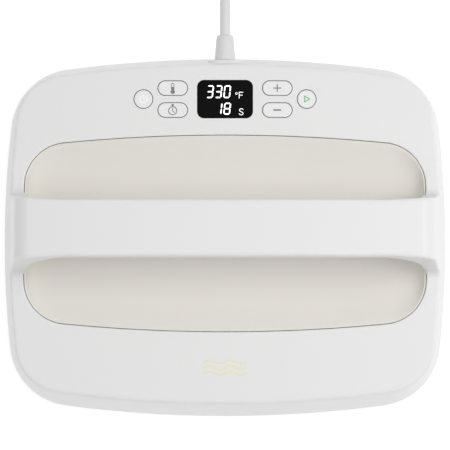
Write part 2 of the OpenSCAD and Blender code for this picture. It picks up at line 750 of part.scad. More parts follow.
module display_module() {
    color("#2a2b2e") at_panel([0, 0]) translate([0, 0, board_top])
        linear_extrude(deck_h - 2.3 - board_top) rounded_rectangle(display_l - 4, display_w - 4, 1);
}

module control_board() {
    color(BOARD) difference() {
        translate([-board_hx, board_y0, board_top - board_t])
            cube([2 * board_hx, board_y1 - board_y0, board_t]);
        at_board_screws() cylinder(h = deck_h, r = board_screw_r + pass_gap);
    }
}

module control_board_screws() {
    color("gray") at_board_screws() translate([0, 0, board_top - board_t - 1.6])
        screw(2.5, 1.6, board_screw_r, board_t + 5.5);
}

module indicator_lamps() {
    color("lightgreen") for (s = [-1, 1]) at_panel([s * (round_x - 5.4), 0])
        translate([-0.8, -0.8, board_top]) cube([1.6, 1.6, 1]);
}

module sounder() {
    color("#181818") at_panel([-27, 0]) translate([0, 0, board_top]) difference() {
        cylinder(h = 4, r = 3.6);
        translate([0, 0, 3]) cylinder(h = 2, r = 0.8);
    }
}

// ---- Power electronics, under the front deck ----
part_z = power_board_z + board_t;
bay_y = (power_board_y0 + power_board_y1) / 2;

module power_board() {
    color(BOARD) difference() {
        translate([-power_board_hx, power_board_y0, power_board_z])
            cube([2 * power_board_hx, power_board_y1 - power_board_y0, board_t]);
        at_power_screws() cylinder(h = deck_h, r = board_screw_r + pass_gap);
    }
}
module power_board_screws() {
    color("gray") at_power_screws() translate([0, 0, power_board_z - 1.6])
        screw(2.5, 1.6, board_screw_r, board_t + 6);
}
module supply_transformer() {
    color("goldenrod") translate([-34, bay_y, part_z]) {
        translate([-11, -8, 0]) cube([22, 16, 4]);
        translate([-11, -8, 12]) cube([22, 16, 4]);
        translate([-7, -6, 3.9]) cube([14, 12, 8.2]);
    }
}
module filter_capacitor() {
    color("midnightblue") translate([-8, bay_y, part_z]) {
        cylinder(h = 15, r = 6);
        translate([0, 0, 15]) cylinder(h = 0.6, r = 5);
    }
}
module triac_heat_sink() {
    fins = 6;
    fin_pitch = 4;
    color(STEEL) translate([28, bay_y, part_z]) {
        translate([-12, -9, 0]) cube([24, 2.5, 16]);
        for (i = [0 : fins - 1]) translate([-10.5 + i * fin_pitch, -6.6, 0]) cube([1.2, 9, 16]);
    }
}
module power_triac() {
    color("#181818") translate([28, bay_y - 9 - 3.7, part_z + 2]) {
        translate([-5, 0, 0]) cube([10, 3.6, 9]);
        for (x = [-2.5, 0, 2.5]) translate([x - 0.4, 1.2, -2]) cube([0.8, 0.8, 2.1]);
    }
}
module mains_fuse() {
    color("lightsteelblue") translate([10, bay_y - 10, part_z + 4]) rotate([-90, 0, 0]) {
        cylinder(h = 20, r = 2);
        cylinder(h = 5, r = 2.6);
        translate([0, 0, 15]) cylinder(h = 5, r = 2.6);
    }
}

// ---- Inner wiring ----
lead_z = power_board_z - 0.2 - 1.3;
element_lead_r = 1.1;
module lead(x, r, y0, y1, z) {
    translate([x, y0, z]) rotate([-90, 0, 0]) cylinder(h = y1 - y0, r = r);
}
cord_y0 = exit_wall_y - 23;                          // where the cord's sheath ends inside
module mains_leads() {
    lead_r = 1.2;
    lead_pitch = 2.5;
    bend_y = cord_y0 - 3;
    colours = ["black", "white", "green"];
    for (i = [0 : 2]) color(colours[i]) translate([lead_pitch * (i - 1), 0, 0]) {
        lead(0, lead_r, power_board_y1 - 8, bend_y, lead_z);
        translate([0, bend_y, lead_z]) sphere(lead_r);
        translate([0, bend_y, lead_z]) cylinder(h = cord_z - lead_z, r = lead_r);
        translate([0, bend_y, cord_z]) sphere(lead_r);
        lead(0, lead_r, bend_y, cord_y0 - 0.05, cord_z);
    }
}
module element_leads() {
    color("white") for (p = [[-terminal_x, terminal_in_y], [terminal_x, terminal_out_y]]) {
        y1 = p[1] - terminal_pin_r - 0.02;
        if (y1 > power_board_y1 - 4) lead(p[0], element_lead_r, power_board_y1 - 4, y1, lead_z);
    }
}
module sensor_leads() {
    lead_r = 0.7;
    low = plate_t + blanket_t + 0.02;
    high = part_z + lead_r + 0.1;
    color("firebrick") for (x = [-0.9, 0.9]) translate([sensor_x + x, sensor_y, 0]) {
        translate([0, 0, low]) cylinder(h = high + lead_r - low, r = lead_r);
        lead(0, lead_r, power_board_y1 - 4 - sensor_y, 0, high);
    }
}
module ribbon_cable() {
    ribbon_w = 14;
    ribbon_t = 0.9;
    ribbon_x = 30;
    low_z = lead_z - ribbon_t / 2;
    back_y = board_y0 + 2.5;
    color("lightgray") translate([ribbon_x - ribbon_w / 2, 0, 0]) rotate([90, 0, 90])
        linear_extrude(ribbon_w) {
            translate([power_board_y1 - 6, low_z]) square([back_y - power_board_y1 + 6, ribbon_t]);
            translate([back_y - ribbon_t, low_z]) square([ribbon_t, board_top - board_t - 0.05 - low_z]);
        }
}

// ---- Cord fittings ----
module strain_relief() {
    shoulder = 1.2;
    neck = relief_y0 - exit_wall_y + collar_in + 0.4;  // length of the neck through the collar
    flange_r = relief_neck_r + relief_flange_w;
    bore_r = cord_d / 2 + 0.08;
    color("#cfcfd0") along_y(relief_y0) rotate_extrude() polygon([
        [bore_r, -neck - relief_flange_t], [flange_r, -neck - relief_flange_t], [flange_r, -neck],
        [relief_neck_r, -neck], [relief_neck_r, 0], [relief_root_r - 0.7, 0],
        [relief_root_r, 1.1], [relief_tip_r, relief_l - shoulder],
        [relief_tip_r - shoulder, relief_l], [bore_r, relief_l]]);
}

clamp_screw_r = 1.25;
clamp_screw_x = 9;
clamp_y = exit_wall_y - 17.5;
module at_clamp_screws() { for (s = [-1, 1]) translate([s * clamp_screw_x, clamp_y, 0]) children(); }

module cord_clamp() {
    clamp_l = 7;
    foot_gap = 0.2;
    color("#303236") difference() {
        translate([-12.5, clamp_y - clamp_l / 2, shelf_z + foot_gap]) union() {
            cube([25, clamp_l, 3]);
            translate([12.5 - 6, 0, 0]) cube([12, clamp_l, cord_d + 2]);
        }
        along_y(clamp_y - clamp_l) cylinder(h = 2 * clamp_l, r = cord_d / 2 + 0.08);
        translate([-cord_d / 2 - 0.08, clamp_y - clamp_l, 0]) cube([cord_d + 0.16, 2 * clamp_l, cord_z]);
        at_clamp_screws() cylinder(h = 2 * cord_z, r = clamp_screw_r + pass_gap);
    }
}

module clamp_screws() {
    color("gray") at_clamp_screws() translate([0, 0, shelf_z + 0.2 + 3 + 1.6]) mirror([0, 0, 1])
        screw(2.4, 1.6, clamp_screw_r, 6);
}

// ---- Free cord ----
// Route of the stretch from the clamp down to the coil
cord_route = [[0, 106, cord_z], [0, 118, cord_z], [0, 130, cord_z], [0, 142, cord_z], [0, 153, cord_z],
    [0, 164, cord_z - 1], [0, 176, cord_z - 4], [0, 188, cord_z - 9], [0, 200, 15], [0, 212, 10],
    [0, 224, 6.5], [0, 236, 5], [0, 248, 4.8]];
// Route from the coil's outside to the plug
tail_route = [[88, 306, 12], [98, 301.5, 10], [107, 295.5, 8.5], [114, 288, 8.5], [119.5, 280, 10]];
coil_centre = [52.5, 262];
coil_turns_r = [30, 52.5];                           // inner and outer turns' mean radii
coil_layers = 2;
tie_t = 0.8;
plug_dir = [0.55, -0.835];
plug_z = 10;

function unit(v) = v / norm(v);
// Sweeps a tube with a ring at each route point
module tube_along(route, r, sides) {
    n = len(route);
    tangent = [for (i = [0 : n - 1]) unit(route[min(i + 1, n - 1)] - route[max(i - 1, 0)])];
    rings = [for (i = [0 : n - 1]) let (t = tangent[i], s = unit(cross(t, [0, 0, 1])), u = cross(s, t))
        for (k = [0 : sides - 1]) let (a = 360 * k / sides) route[i] + r * (cos(a) * s + sin(a) * u)];
    polyhedron(points = rings, faces = concat(
        [[for (k = [sides - 1 : -1 : 0]) k]],
        [[for (k = [0 : sides - 1]) (n - 1) * sides + k]],
        [for (i = [0 : n - 2]) for (k = [0 : sides - 1]) let (m = (k + 1) % sides)
            [i * sides + k, i * sides + m, (i + 1) * sides + m, (i + 1) * sides + k]]));
}

module power_cord() { color("#d3d3d4") tube_along(cord_route, cord_d / 2, 12); }
module cord_tail() { color("#d3d3d4") tube_along(tail_route, cord_d / 2, 12); }
module cord_coil() {
    color("#d3d3d4") translate([coil_centre[0], coil_centre[1], tie_t]) rotate_extrude(convexity = 4)
        translate([coil_turns_r[0] - cord_d / 2, 0])
            square([coil_turns_r[1] - coil_turns_r[0] + cord_d, coil_layers * cord_d]);
}
module cord_tie() {
    tie_w = 12;
    slack = 0.9;
    inner = [coil_turns_r[1] - coil_turns_r[0] + cord_d + 2 * slack, coil_layers * cord_d + slack];
    color("#4a4c50") translate([coil_centre[0] - tie_w / 2, coil_centre[1], 0]) rotate([90, 0, 90])
        linear_extrude(tie_w) translate([-coil_turns_r[1] - cord_d / 2 - slack, tie_t]) difference() {
            translate([-tie_t, -tie_t]) square(inner + 2 * [tie_t, tie_t]);
            square(inner);
        }
}

// Puts children at the plug, pointing along it, from the cord's entry
module at_plug() {
    translate([tail_route[4][0], tail_route[4][1], plug_z])
        rotate([0, 0, atan2(plug_dir[1], plug_dir[0])]) rotate([0, 90, 0]) children();
}
module plug_body() {
    relief = 20;
    body_l = 24;
    color("#d3d3d4") at_plug() {
        translate([0, 0, 0.05]) cylinder(h = relief, r1 = 5, r2 = 7.5);
        translate([0, 0, relief]) linear_extrude(body_l) rounded_rectangle(19, 26, 6);
        translate([0, 0, relief + body_l - 0.1]) linear_extrude(2.1) rounded_rectangle(19.6, 28, 6.5);
    }
}
module plug_blades() {
    face = 20 + 24 + 2.05;
    blade_l = 16;
    color("gold") at_plug() translate([0, 0, face]) {
        for (s = [-1, 1]) translate([1, s * 6.35 - 0.75, 0]) cube([6.3, 1.5, blade_l]);
        translate([-5.4, 0, 0]) cylinder(h = blade_l + 3, r = 2.4);
    }
}

top_shell();
base_housing();
well_tray();
grip_underside();
plate_gasket();
housing_screws();
tray_screws();
grip_screws();
display_window();
display_module();
control_board();
control_board_screws();
power_button();
start_button();
temperature_button();
timer_button();
plus_button();
minus_button();
power_switch_plunger();
start_switch_plunger();
temperature_switch_plunger();
timer_switch_plunger();
plus_switch_plunger();
minus_switch_plunger();
switch_bodies();
indicator_lamps();
sounder();
power_board();
power_board_screws();
supply_transformer();
filter_capacitor();
power_triac();
triac_heat_sink();
mains_fuse();
sole_plate();
heating_element();
element_terminals();
insulation_blanket();
heat_shield();
plate_spacers();
plate_screws();
shield_screws();
temperature_sensor();
thermal_fuse();
mains_leads();
element_leads();
sensor_leads();
ribbon_cable();
strain_relief();
cord_clamp();
clamp_screws();
power_cord();
cord_coil();
cord_tail();
cord_tie();
plug_body();
plug_blades();
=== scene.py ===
"""Looks of the hand-held rectangular heat press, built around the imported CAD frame."""

import json
import math

import bpy
import bmesh
import numpy as np
from mathutils import Matrix, Vector


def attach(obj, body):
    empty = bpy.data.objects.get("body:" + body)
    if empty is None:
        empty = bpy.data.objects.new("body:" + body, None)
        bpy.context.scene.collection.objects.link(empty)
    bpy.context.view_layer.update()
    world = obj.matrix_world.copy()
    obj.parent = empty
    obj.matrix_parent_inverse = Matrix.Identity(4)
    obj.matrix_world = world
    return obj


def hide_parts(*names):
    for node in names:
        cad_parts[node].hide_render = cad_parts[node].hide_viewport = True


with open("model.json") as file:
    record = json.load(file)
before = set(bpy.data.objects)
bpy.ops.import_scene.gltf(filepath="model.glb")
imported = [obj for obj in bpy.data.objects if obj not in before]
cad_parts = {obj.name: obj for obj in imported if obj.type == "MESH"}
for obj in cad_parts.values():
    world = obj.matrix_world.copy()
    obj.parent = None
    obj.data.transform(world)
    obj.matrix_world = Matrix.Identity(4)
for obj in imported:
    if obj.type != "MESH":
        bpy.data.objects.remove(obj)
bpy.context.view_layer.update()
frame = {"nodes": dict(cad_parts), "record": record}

MM = 0.001
PRESS = "press"
scene = bpy.context.scene

# ---- Sizes, in millimetres, as part.scad has them ----
BODY_HX, BODY_HY = 164.0, 133.0          # housing at its foot
PLATE_HX, PLATE_HY, PLATE_INSET = 152.5, 127.0, 6.0
FOOT_Z, HOUSING_TOP = 6.0, 48.4
PARTING_Z, DECK_Z = 48.8, 52.4
WALL, LEAN = 2.6, 10.0
END_BOW, SIDE_BOW, CORNER_R = 890.0, 745.0, 48.0
WELL_BOWS = (1200.0, 1500.0)              # end and side radii, of the well and of its tray
WELL = (145.8, 71.4, *WELL_BOWS, 32.0)
UNDER_Z, TOP_Z = 92.0, 118.0
HALF_HANDLE = 19.5
PANEL_Y = 97.3
CAP_TOP = 52.7
ROUND_X, PILL_X, PILL_Y = 59.2, 37.9, 8.0
ROUND_R, PILL_HX, PILL_R = 7.15, 11.1, 5.7   # the keys' holes in the deck
CORD_R = 3.75
EXIT_Y = 127.34                          # outer face of the wall at the cord's exit
CORD_Z = 30.0

# ---------------------------------------------------------------- camera
camera_data = bpy.data.cameras.new("camera")
camera_data.lens = 159.8
camera_data.sensor_width = 36.0
camera_data.clip_end = 50.0
camera = bpy.data.objects.new("camera", camera_data)
camera.location = (0.0, -0.085, 1.492)
camera.rotation_euler = (math.radians(3.61), 0.0, 0.0)
scene.collection.objects.link(camera)
scene.camera = camera


# ---------------------------------------------------------------- materials
MIX_FACTOR, MIX_A, MIX_B, MIX_OUT = 0, 6, 7, 2     # a Mix node's sockets for colours
CLOUD_SCALE, SCUFF_SCALE = 22.0, 160.0
WORN_FROM, WORN_FULL = 0.53, 0.62                  # edge sharpness where wear starts and ends
BUMP_DEPTH = 0.0002


def finish(slot, colour, rough, metal=0.0, pattern="grain", scale=700.0, bump=0.05, mottle=0.03,
           rough_spread=0.08, wear=0.0, emit=0.0, specular=0.5, alpha=1.0):
    """A procedural material: colour mottling, roughness variation, surface relief and edge wear."""
    material = bpy.data.materials.new(slot)
    material.use_nodes = True
    nodes, links = material.node_tree.nodes, material.node_tree.links
    shader = nodes["Principled BSDF"]
    for name, value in (("Metallic", metal), ("Specular IOR Level", specular), ("Alpha", alpha)):
        shader.inputs[name].default_value = value
    coordinates = nodes.new("ShaderNodeTexCoord")
    mapping = nodes.new("ShaderNodeMapping")
    links.new(coordinates.outputs["Object"], mapping.inputs["Vector"])
    if pattern == "brushed":
        mapping.inputs["Scale"].default_value = (0.04, 1.0, 0.04)

    cloud = nodes.new("ShaderNodeTexNoise")
    cloud.inputs["Scale"].default_value = CLOUD_SCALE
    cloud.inputs["Detail"].default_value = 5.0
    links.new(coordinates.outputs["Object"], cloud.inputs["Vector"])

    tint = nodes.new("ShaderNodeMix")
    tint.data_type = "RGBA"
    low = [max(c * (1.0 - mottle), 0.0) for c in colour]
    high = [min(c * (1.0 + mottle), 1.0) for c in colour]
    tint.inputs[MIX_A].default_value = (*low, 1.0)
    tint.inputs[MIX_B].default_value = (*high, 1.0)
    links.new(cloud.outputs["Fac"], tint.inputs[MIX_FACTOR])
    colour_out = tint.outputs[MIX_OUT]

    if wear > 0.0:
        geometry = nodes.new("ShaderNodeNewGeometry")
        ramp = nodes.new("ShaderNodeValToRGB")
        ramp.color_ramp.elements[0].position = WORN_FROM
        ramp.color_ramp.elements[1].position = WORN_FULL
        links.new(geometry.outputs["Pointiness"], ramp.inputs["Fac"])
        scuffs = nodes.new("ShaderNodeTexNoise")
        scuffs.inputs["Scale"].default_value = SCUFF_SCALE
        links.new(coordinates.outputs["Object"], scuffs.inputs["Vector"])
        amount = nodes.new("ShaderNodeMath")
        amount.operation = "MULTIPLY"
        links.new(ramp.outputs["Color"], amount.inputs[0])
        links.new(scuffs.outputs["Fac"], amount.inputs[1])
        worn = nodes.new("ShaderNodeMix")
        worn.data_type = "RGBA"
        worn.inputs[MIX_B].default_value = (*[min(c * (1.0 + wear), 1.0) for c in colour], 1.0)
        links.new(amount.outputs[0], worn.inputs[MIX_FACTOR])
        links.new(colour_out, worn.inputs[MIX_A])
        colour_out = worn.outputs[MIX_OUT]
    links.new(colour_out, shader.inputs["Base Color"])
    if emit > 0.0:
        links.new(colour_out, shader.inputs["Emission Color"])
        shader.inputs["Emission Strength"].default_value = emit

    if pattern == "weave":
        relief = nodes.new("ShaderNodeTexWave")
        relief.inputs["Scale"].default_value = scale
        relief.inputs["Distortion"].default_value = 0.6
        across = nodes.new("ShaderNodeTexWave")
        across.bands_direction = "Y"
        across.inputs["Scale"].default_value = scale
        links.new(coordinates.outputs["Object"], across.inputs["Vector"])
        woven = nodes.new("ShaderNodeMath")
        woven.operation = "MULTIPLY"
        links.new(relief.outputs["Fac"], woven.inputs[0])
        links.new(across.outputs["Fac"], woven.inputs[1])
        height = woven.outputs[0]
    elif pattern == "speckle":
        relief = nodes.new("ShaderNodeTexVoronoi")
        relief.inputs["Scale"].default_value = scale
        height = relief.outputs["Distance"]
    else:
        relief = nodes.new("ShaderNodeTexNoise")
        relief.inputs["Scale"].default_value = scale
        relief.inputs["Detail"].default_value = 3.0
        height = relief.outputs["Fac"]
    links.new(mapping.outputs["Vector"], relief.inputs["Vector"])

    spread = nodes.new("ShaderNodeMapRange")
    spread.inputs["To Min"].default_value = max(rough - rough_spread, 0.02)
    spread.inputs["To Max"].default_value = min(rough + rough_spread, 1.0)
    links.new(cloud.outputs["Fac"], spread.inputs["Value"])
    links.new(spread.outputs["Result"], shader.inputs["Roughness"])

    bump_node = nodes.new("ShaderNodeBump")
    bump_node.inputs["Strength"].default_value = bump
    bump_node.inputs["Distance"].default_value = BUMP_DEPTH
    links.new(height, bump_node.inputs["Height"])
    links.new(bump_node.outputs["Normal"], shader.inputs["Normal"])
    return material


LOOKS = {
    "white_shell": dict(colour=(0.80, 0.80, 0.80), rough=0.42, scale=1100, bump=0.10, mottle=0.006,
                        wear=0.03),
    "cream_liner": dict(colour=(0.80, 0.775, 0.725), rough=0.55, scale=800, bump=0.16,
                        mottle=0.015, wear=0.02),
    "button_white": dict(colour=(0.83, 0.83, 0.83), rough=0.38, scale=1300, bump=0.06,
                         mottle=0.006),
    "black_gloss": dict(colour=(0.003, 0.003, 0.0033), rough=0.25, scale=300, bump=0.01,
                        rough_spread=0.03, specular=0.03),
    "black_plastic": dict(colour=(0.03, 0.03, 0.032), rough=0.5, scale=900, bump=0.12),
    "gasket_rubber": dict(colour=(0.10, 0.10, 0.105), rough=0.75, scale=500, bump=0.2),
    "zinc_screw": dict(colour=(0.60, 0.60, 0.58), rough=0.34, metal=1.0, pattern="brushed",
                       scale=900, bump=0.12),
    "circuit_board": dict(colour=(0.02, 0.16, 0.06), rough=0.35, pattern="speckle", scale=350,
                          bump=0.15, mottle=0.15),
    "lamp_lens": dict(colour=(0.55, 0.90, 0.60), rough=0.15, bump=0.02),
    "transformer_core": dict(colour=(0.30, 0.20, 0.08), rough=0.55, metal=0.3, pattern="brushed",
                             scale=800, bump=0.25),
    "capacitor_sleeve": dict(colour=(0.02, 0.03, 0.12), rough=0.22, bump=0.03),
    "bare_aluminium": dict(colour=(0.75, 0.76, 0.78), rough=0.36, metal=1.0, pattern="brushed",
                           scale=900, bump=0.1),
    "fuse_glass": dict(colour=(0.85, 0.90, 0.92), rough=0.08, bump=0.01, alpha=0.6),
    "coated_plate": dict(colour=(0.050, 0.051, 0.054), rough=0.42, metal=0.35, pattern="speckle",
                         scale=1500, bump=0.22, mottle=0.10, wear=0.8),
    "element_steel": dict(colour=(0.42, 0.40, 0.38), rough=0.45, metal=1.0, pattern="brushed",
                          scale=700, bump=0.2, mottle=0.12),
    "shield_steel": dict(colour=(0.66, 0.67, 0.69), rough=0.38, metal=1.0, pattern="brushed",
                         scale=600, bump=0.1),
    "ceramic_bead": dict(colour=(0.86, 0.84, 0.77), rough=0.8, scale=900, bump=0.25),
    "ceramic_blanket": dict(colour=(0.80, 0.79, 0.73), rough=0.95, pattern="weave", scale=300,
                            bump=0.6, mottle=0.06),
    "brass_sensor": dict(colour=(0.75, 0.58, 0.27), rough=0.3, metal=1.0, pattern="brushed",
                         scale=900, bump=0.08),
    "lead_insulation": dict(colour=(0.55, 0.08, 0.06), rough=0.6, scale=600, bump=0.08),
    "ribbon_grey": dict(colour=(0.45, 0.46, 0.48), rough=0.5, pattern="brushed", scale=1200,
                        bump=0.3),
    "cord_grey": dict(colour=(0.73, 0.73, 0.735), rough=0.48, scale=900, bump=0.08, mottle=0.02),
    "tie_fabric": dict(colour=(0.05, 0.05, 0.055), rough=0.9, pattern="weave", scale=700,
                       bump=0.8, mottle=0.2),
    "plug_brass": dict(colour=(0.80, 0.70, 0.50), rough=0.25, metal=1.0, pattern="brushed",
                       scale=1000, bump=0.06),
}
MATERIALS = {slot: finish(slot, **look) for slot, look in LOOKS.items()}
PRINT_GREY = finish("print_grey", (0.20, 0.20, 0.205), 0.5, scale=900, bump=0.03, mottle=0.05)
PRINT_GREEN = finish("print_green", (0.10, 0.48, 0.22), 0.5, scale=900, bump=0.03, mottle=0.05)
PRINT_WHITE = finish("print_white", (0.97, 0.97, 0.97), 0.35, scale=900, bump=0.03, mottle=0.01)
PRINT_YELLOW = finish("print_yellow", (0.84, 0.78, 0.52), 0.45, scale=900, bump=0.03, mottle=0.03)
LIT_DIGIT = finish("lit_digit", (0.93, 0.94, 0.95), 0.4, scale=900, bump=0.02, mottle=0.02,
                   emit=0.85)


# ---------------------------------------------------------------- mesh helpers
def solid_object(name, verts, faces):
    """A mesh object from points in millimetres, with outward normals."""
    mesh = bpy.data.meshes.new(name)
    mesh.from_pydata([tuple(p) for p in np.asarray(verts, float) * MM], [], faces)
    work = bmesh.new()
    work.from_mesh(mesh)
    bmesh.ops.recalc_face_normals(work, faces=work.faces)
    work.to_mesh(mesh)
    work.free()
    piece = bpy.data.objects.new(name, mesh)
    scene.collection.objects.link(piece)
    return piece


def make_piece(name, verts, faces, slot, body=PRESS, material=None, sharp=38.0, replaces=()):
    """A visible piece with its look, slot and body, in place of the nodes that it replaces."""
    piece = solid_object(name, verts, faces)
    dress(piece, slot, material, sharp)
    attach(piece, body)
    if replaces:
        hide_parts(*replaces)
    return piece


def dress(piece, slot, material=None, sharp=38.0):
    """Gives a piece its material, and smooth shading except at edges over the sharp angle."""
    mesh = piece.data
    mesh.materials.clear()
    mesh.materials.append(material or MATERIALS[slot])
    mesh.shade_smooth()
    mesh.set_sharp_from_angle(angle=math.radians(sharp))


def loft(rings, loop=False):
    """A closed solid through rings of equal length, as points and faces; loop joins the ends."""
    n = len(rings[0])
    verts = np.concatenate([np.asarray(r, float) for r in rings])
    faces = []
    count = len(rings)
    for j in range(count if loop else count - 1):
        a, b = j * n, ((j + 1) % count) * n
        for i in range(n):
            k = (i + 1) % n
            faces.append((a + i, a + k, b + k, b + i))
    if not loop:
        faces.append(tuple(range(n - 1, -1, -1)))
        faces.append(tuple(range((count - 1) * n, count * n)))
    return verts, faces


def at_height(outline, z):
    """A ring at height z from points in plan."""
    outline = np.asarray(outline, float)
    return np.column_stack([outline, np.full(len(outline), z)])


def merge(parts):
    """Joins several (points, faces) into one."""
    verts, faces, base = [], [], 0
    for v, f in parts:
        verts.append(np.asarray(v, float))
        faces += [tuple(base + i for i in face) for face in f]
        base += len(v)
    return np.concatenate(verts), faces


def moved(part, offset):
    """The (points, faces) of a solid, shifted."""
    return part[0] + np.asarray(offset, float), part[1]


def combine(piece, other, operation):
    """Boolean of two closed meshes, applied; the other piece is removed."""
    modifier = piece.modifiers.new("cut", "BOOLEAN")
    modifier.operation = operation
    modifier.object = other
    modifier.solver = "EXACT"
    graph = bpy.context.evaluated_depsgraph_get()
    graph.update()
    mesh = bpy.data.meshes.new_from_object(piece.evaluated_get(graph))
    piece.modifiers.clear()
    old = piece.data
    piece.data = mesh
    bpy.data.meshes.remove(old)
    bpy.data.objects.remove(other)


def circle(radius, count, centre=(0.0, 0.0)):
    """Points of a circle, counter-clockwise."""
    a = np.linspace(0, 2 * math.pi, count, endpoint=False)
    return np.column_stack([centre[0] + radius * np.cos(a), centre[1] + radius * np.sin(a)])


def rounded(half_x, half_y, radius, steps):
    """Rectangle with round corners, counter-clockwise, with so many steps in each corner."""
    points = []
    for quarter, (sx, sy) in enumerate([(1, 1), (-1, 1), (-1, -1), (1, -1)]):
        for i in range(steps + 1):
            a = math.radians(90 * quarter + 90 * i / steps)
            points.append((sx * (half_x - radius) + radius * math.cos(a),
                           sy * (half_y - radius) + radius * math.sin(a)))
    return np.array(points)


def turned(profile, count):
    """Rings about Z of an open profile of (radius, height) pairs."""
    return [at_height(circle(r, count), z) for r, z in profile]


# ---- Plan outlines: bowed sides and corner arcs, tangent to each other ----
SIDE_STEPS, CORNER_STEPS, END_STEPS = 14, 20, 26   # points in each quarter of an outline


def corner_centre(hx, hy, end_r, side_r, r):
    """Centre of the corner arc that touches both bows from inside."""
    k1, k2 = hy - end_r, hx - side_r
    d = math.hypot(k1, k2)
    r1, r2 = end_r - r, side_r - r
    m = (r1 * r1 - r2 * r2 + d * d) / (2 * d)
    h = math.sqrt(r1 * r1 - m * m)
    return (m * k2 - h * k1) / d, k1 - (m * k1 + h * k2) / d


def outline(hx, hy, end_r, side_r, r):
    """Points counter-clockwise; end_r bows the front and back, side_r the left and right."""
    cx, cy = corner_centre(hx, hy, end_r, side_r, r)
    k1, k2 = hy - end_r, hx - side_r
    a1 = math.atan2(cy, cx - k2)
    a2 = math.atan2(cy - k1, cx)
    quadrant = []
    for i in range(SIDE_STEPS):
        a = a1 * i / SIDE_STEPS
        quadrant.append((k2 + side_r * math.cos(a), side_r * math.sin(a)))
    for i in range(CORNER_STEPS):
        a = a1 + (a2 - a1) * i / CORNER_STEPS
        quadrant.append((cx + r * math.cos(a), cy + r * math.sin(a)))
    for i in range(END_STEPS):
        a = a2 + (math.pi / 2 - a2) * i / END_STEPS
        quadrant.append((end_r * math.cos(a), k1 + end_r * math.sin(a)))
    q = np.array(quadrant)
    back = q[:0:-1]
    return np.concatenate([q, [[0, hy]], back * [-1, 1], q * [-1, -1], [[0, -hy]],
                           back * [1, -1]])


CORNER_EASE = 1.3                        # the corners tighten a little as the wall leans in
END_LEAN = 0.8                           # the end walls lean in less than the front and back


def body_sizes(inset):
    return (BODY_HX - END_LEAN * inset, BODY_HY - inset, END_BOW - inset, SIDE_BOW - inset,
            CORNER_R - CORNER_EASE * inset)


def body_ring(inset):
    return outline(*body_sizes(inset))


def plate_ring(inset):
    return outline(PLATE_HX - inset, PLATE_HY - inset, END_BOW - PLATE_INSET - inset,
                   SIDE_BOW - PLATE_INSET - inset, CORNER_R - PLATE_INSET - inset)


def lean_at(z):
    """Inset of a straight housing wall at height z."""
    return LEAN * (z - FOOT_Z) / (HOUSING_TOP - FOOT_Z)


# ---------------------------------------------------------------- cord, laid first
# The cord's points from inside the housing to the coil, and from the coil to the plug
ROUTE = [(0, 106, 30), (0, 118, 30), (0, 130, 30), (0, 142, 30), (0, 153, 30), (0, 164, 29),
         (0, 176, 26), (0, 188, 21), (0, 200, 15), (0, 212, 10), (0, 224, 6.5), (0, 236, 5),
         (0, 248, 4.8)]
TAIL = [(88, 306, 12), (98, 301.5, 10), (107, 295.5, 8.5), (114, 288, 8.5), (119.5, 280, 10)]
COIL_CENTRE = (52.5, 262.0)
COIL_R, COIL_INNER_R, COIL_PITCH = 52.5, 30.0, 7.5
COIL_TURNS, TURNS_IN, TURNS_UP = 6.3, 3.0, 0.3   # in all, winding inward, climbing a layer
COIL_STEPS, ROUTE_STEPS = 24, 3                  # points in each turn, and between two of ROUTE
LOW_LAYER, HIGH_LAYER = 4.55, 12.05
PLUG_DIR = Vector((0.55, -0.835, 0.0)).normalized()


def coil_points():
    """Winds inward on the low layer, climbs, and winds outward on the high layer."""
    points = []
    steps = int(COIL_TURNS * COIL_STEPS)
    for i in range(steps + 1):
        t = COIL_TURNS * i / steps
        angle = math.radians(180 - 360 * t)
        if t <= TURNS_IN:
            r, z = COIL_R - COIL_PITCH * t, LOW_LAYER
        elif t <= TURNS_IN + TURNS_UP:
            u = (t - TURNS_IN) / TURNS_UP
            r, z = COIL_INNER_R, LOW_LAYER + (HIGH_LAYER - LOW_LAYER) * u * u * (3 - 2 * u)
        else:
            r, z = COIL_INNER_R + COIL_PITCH * (t - TURNS_IN - TURNS_UP), HIGH_LAYER
        points.append((COIL_CENTRE[0] + r * math.cos(angle), COIL_CENTRE[1] + r * math.sin(angle),
                       z))
    return points


def smooth_path(points):
    """Catmull-Rom curve through the points."""
    p = np.array([2 * np.array(points[0], float) - np.array(points[1], float), *points,
                  2 * np.array(points[-1], float) - np.array(points[-2], float)])
    out = []
    for i in range(1, len(p) - 2):
        for j in range(ROUTE_STEPS):
            t = j / ROUTE_STEPS
            out.append(0.5 * (2 * p[i] + (p[i + 1] - p[i - 1]) * t
                              + (2 * p[i - 1] - 5 * p[i] + 4 * p[i + 1] - p[i + 2]) * t * t
                              + (3 * p[i] - p[i - 1] - 3 * p[i + 1] + p[i + 2]) * t ** 3))
    out.append(p[-2])
    return out


coil = coil_points()
lead_in = smooth_path(ROUTE + [coil[0], coil[1]])[:-ROUTE_STEPS]
lead_out = smooth_path([coil[-2], coil[-1]] + TAIL)[ROUTE_STEPS:]
cord_path = lead_in[:-1] + coil + lead_out[1:]
cord_curve = bpy.data.curves.new("mains_cord", "CURVE")
cord_curve.dimensions = "3D"
cord_curve.bevel_depth = CORD_R * MM
cord_curve.bevel_resolution = 5
cord_curve.use_fill_caps = True
cord_curve.resolution_u = 1
spline = cord_curve.splines.new("POLY")
spline.points.add(len(cord_path) - 1)
for point, place in zip(spline.points, cord_path):
    point.co = (*(np.asarray(place) * MM), 1.0)
spline.use_smooth = True
cord = bpy.data.objects.new("mains_cord", cord_curve)
scene.collection.objects.link(cord)
cord_curve.materials.append(MATERIALS["cord_grey"])
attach(cord, PRESS)
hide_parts("power_cord", "cord_coil", "cord_tail")


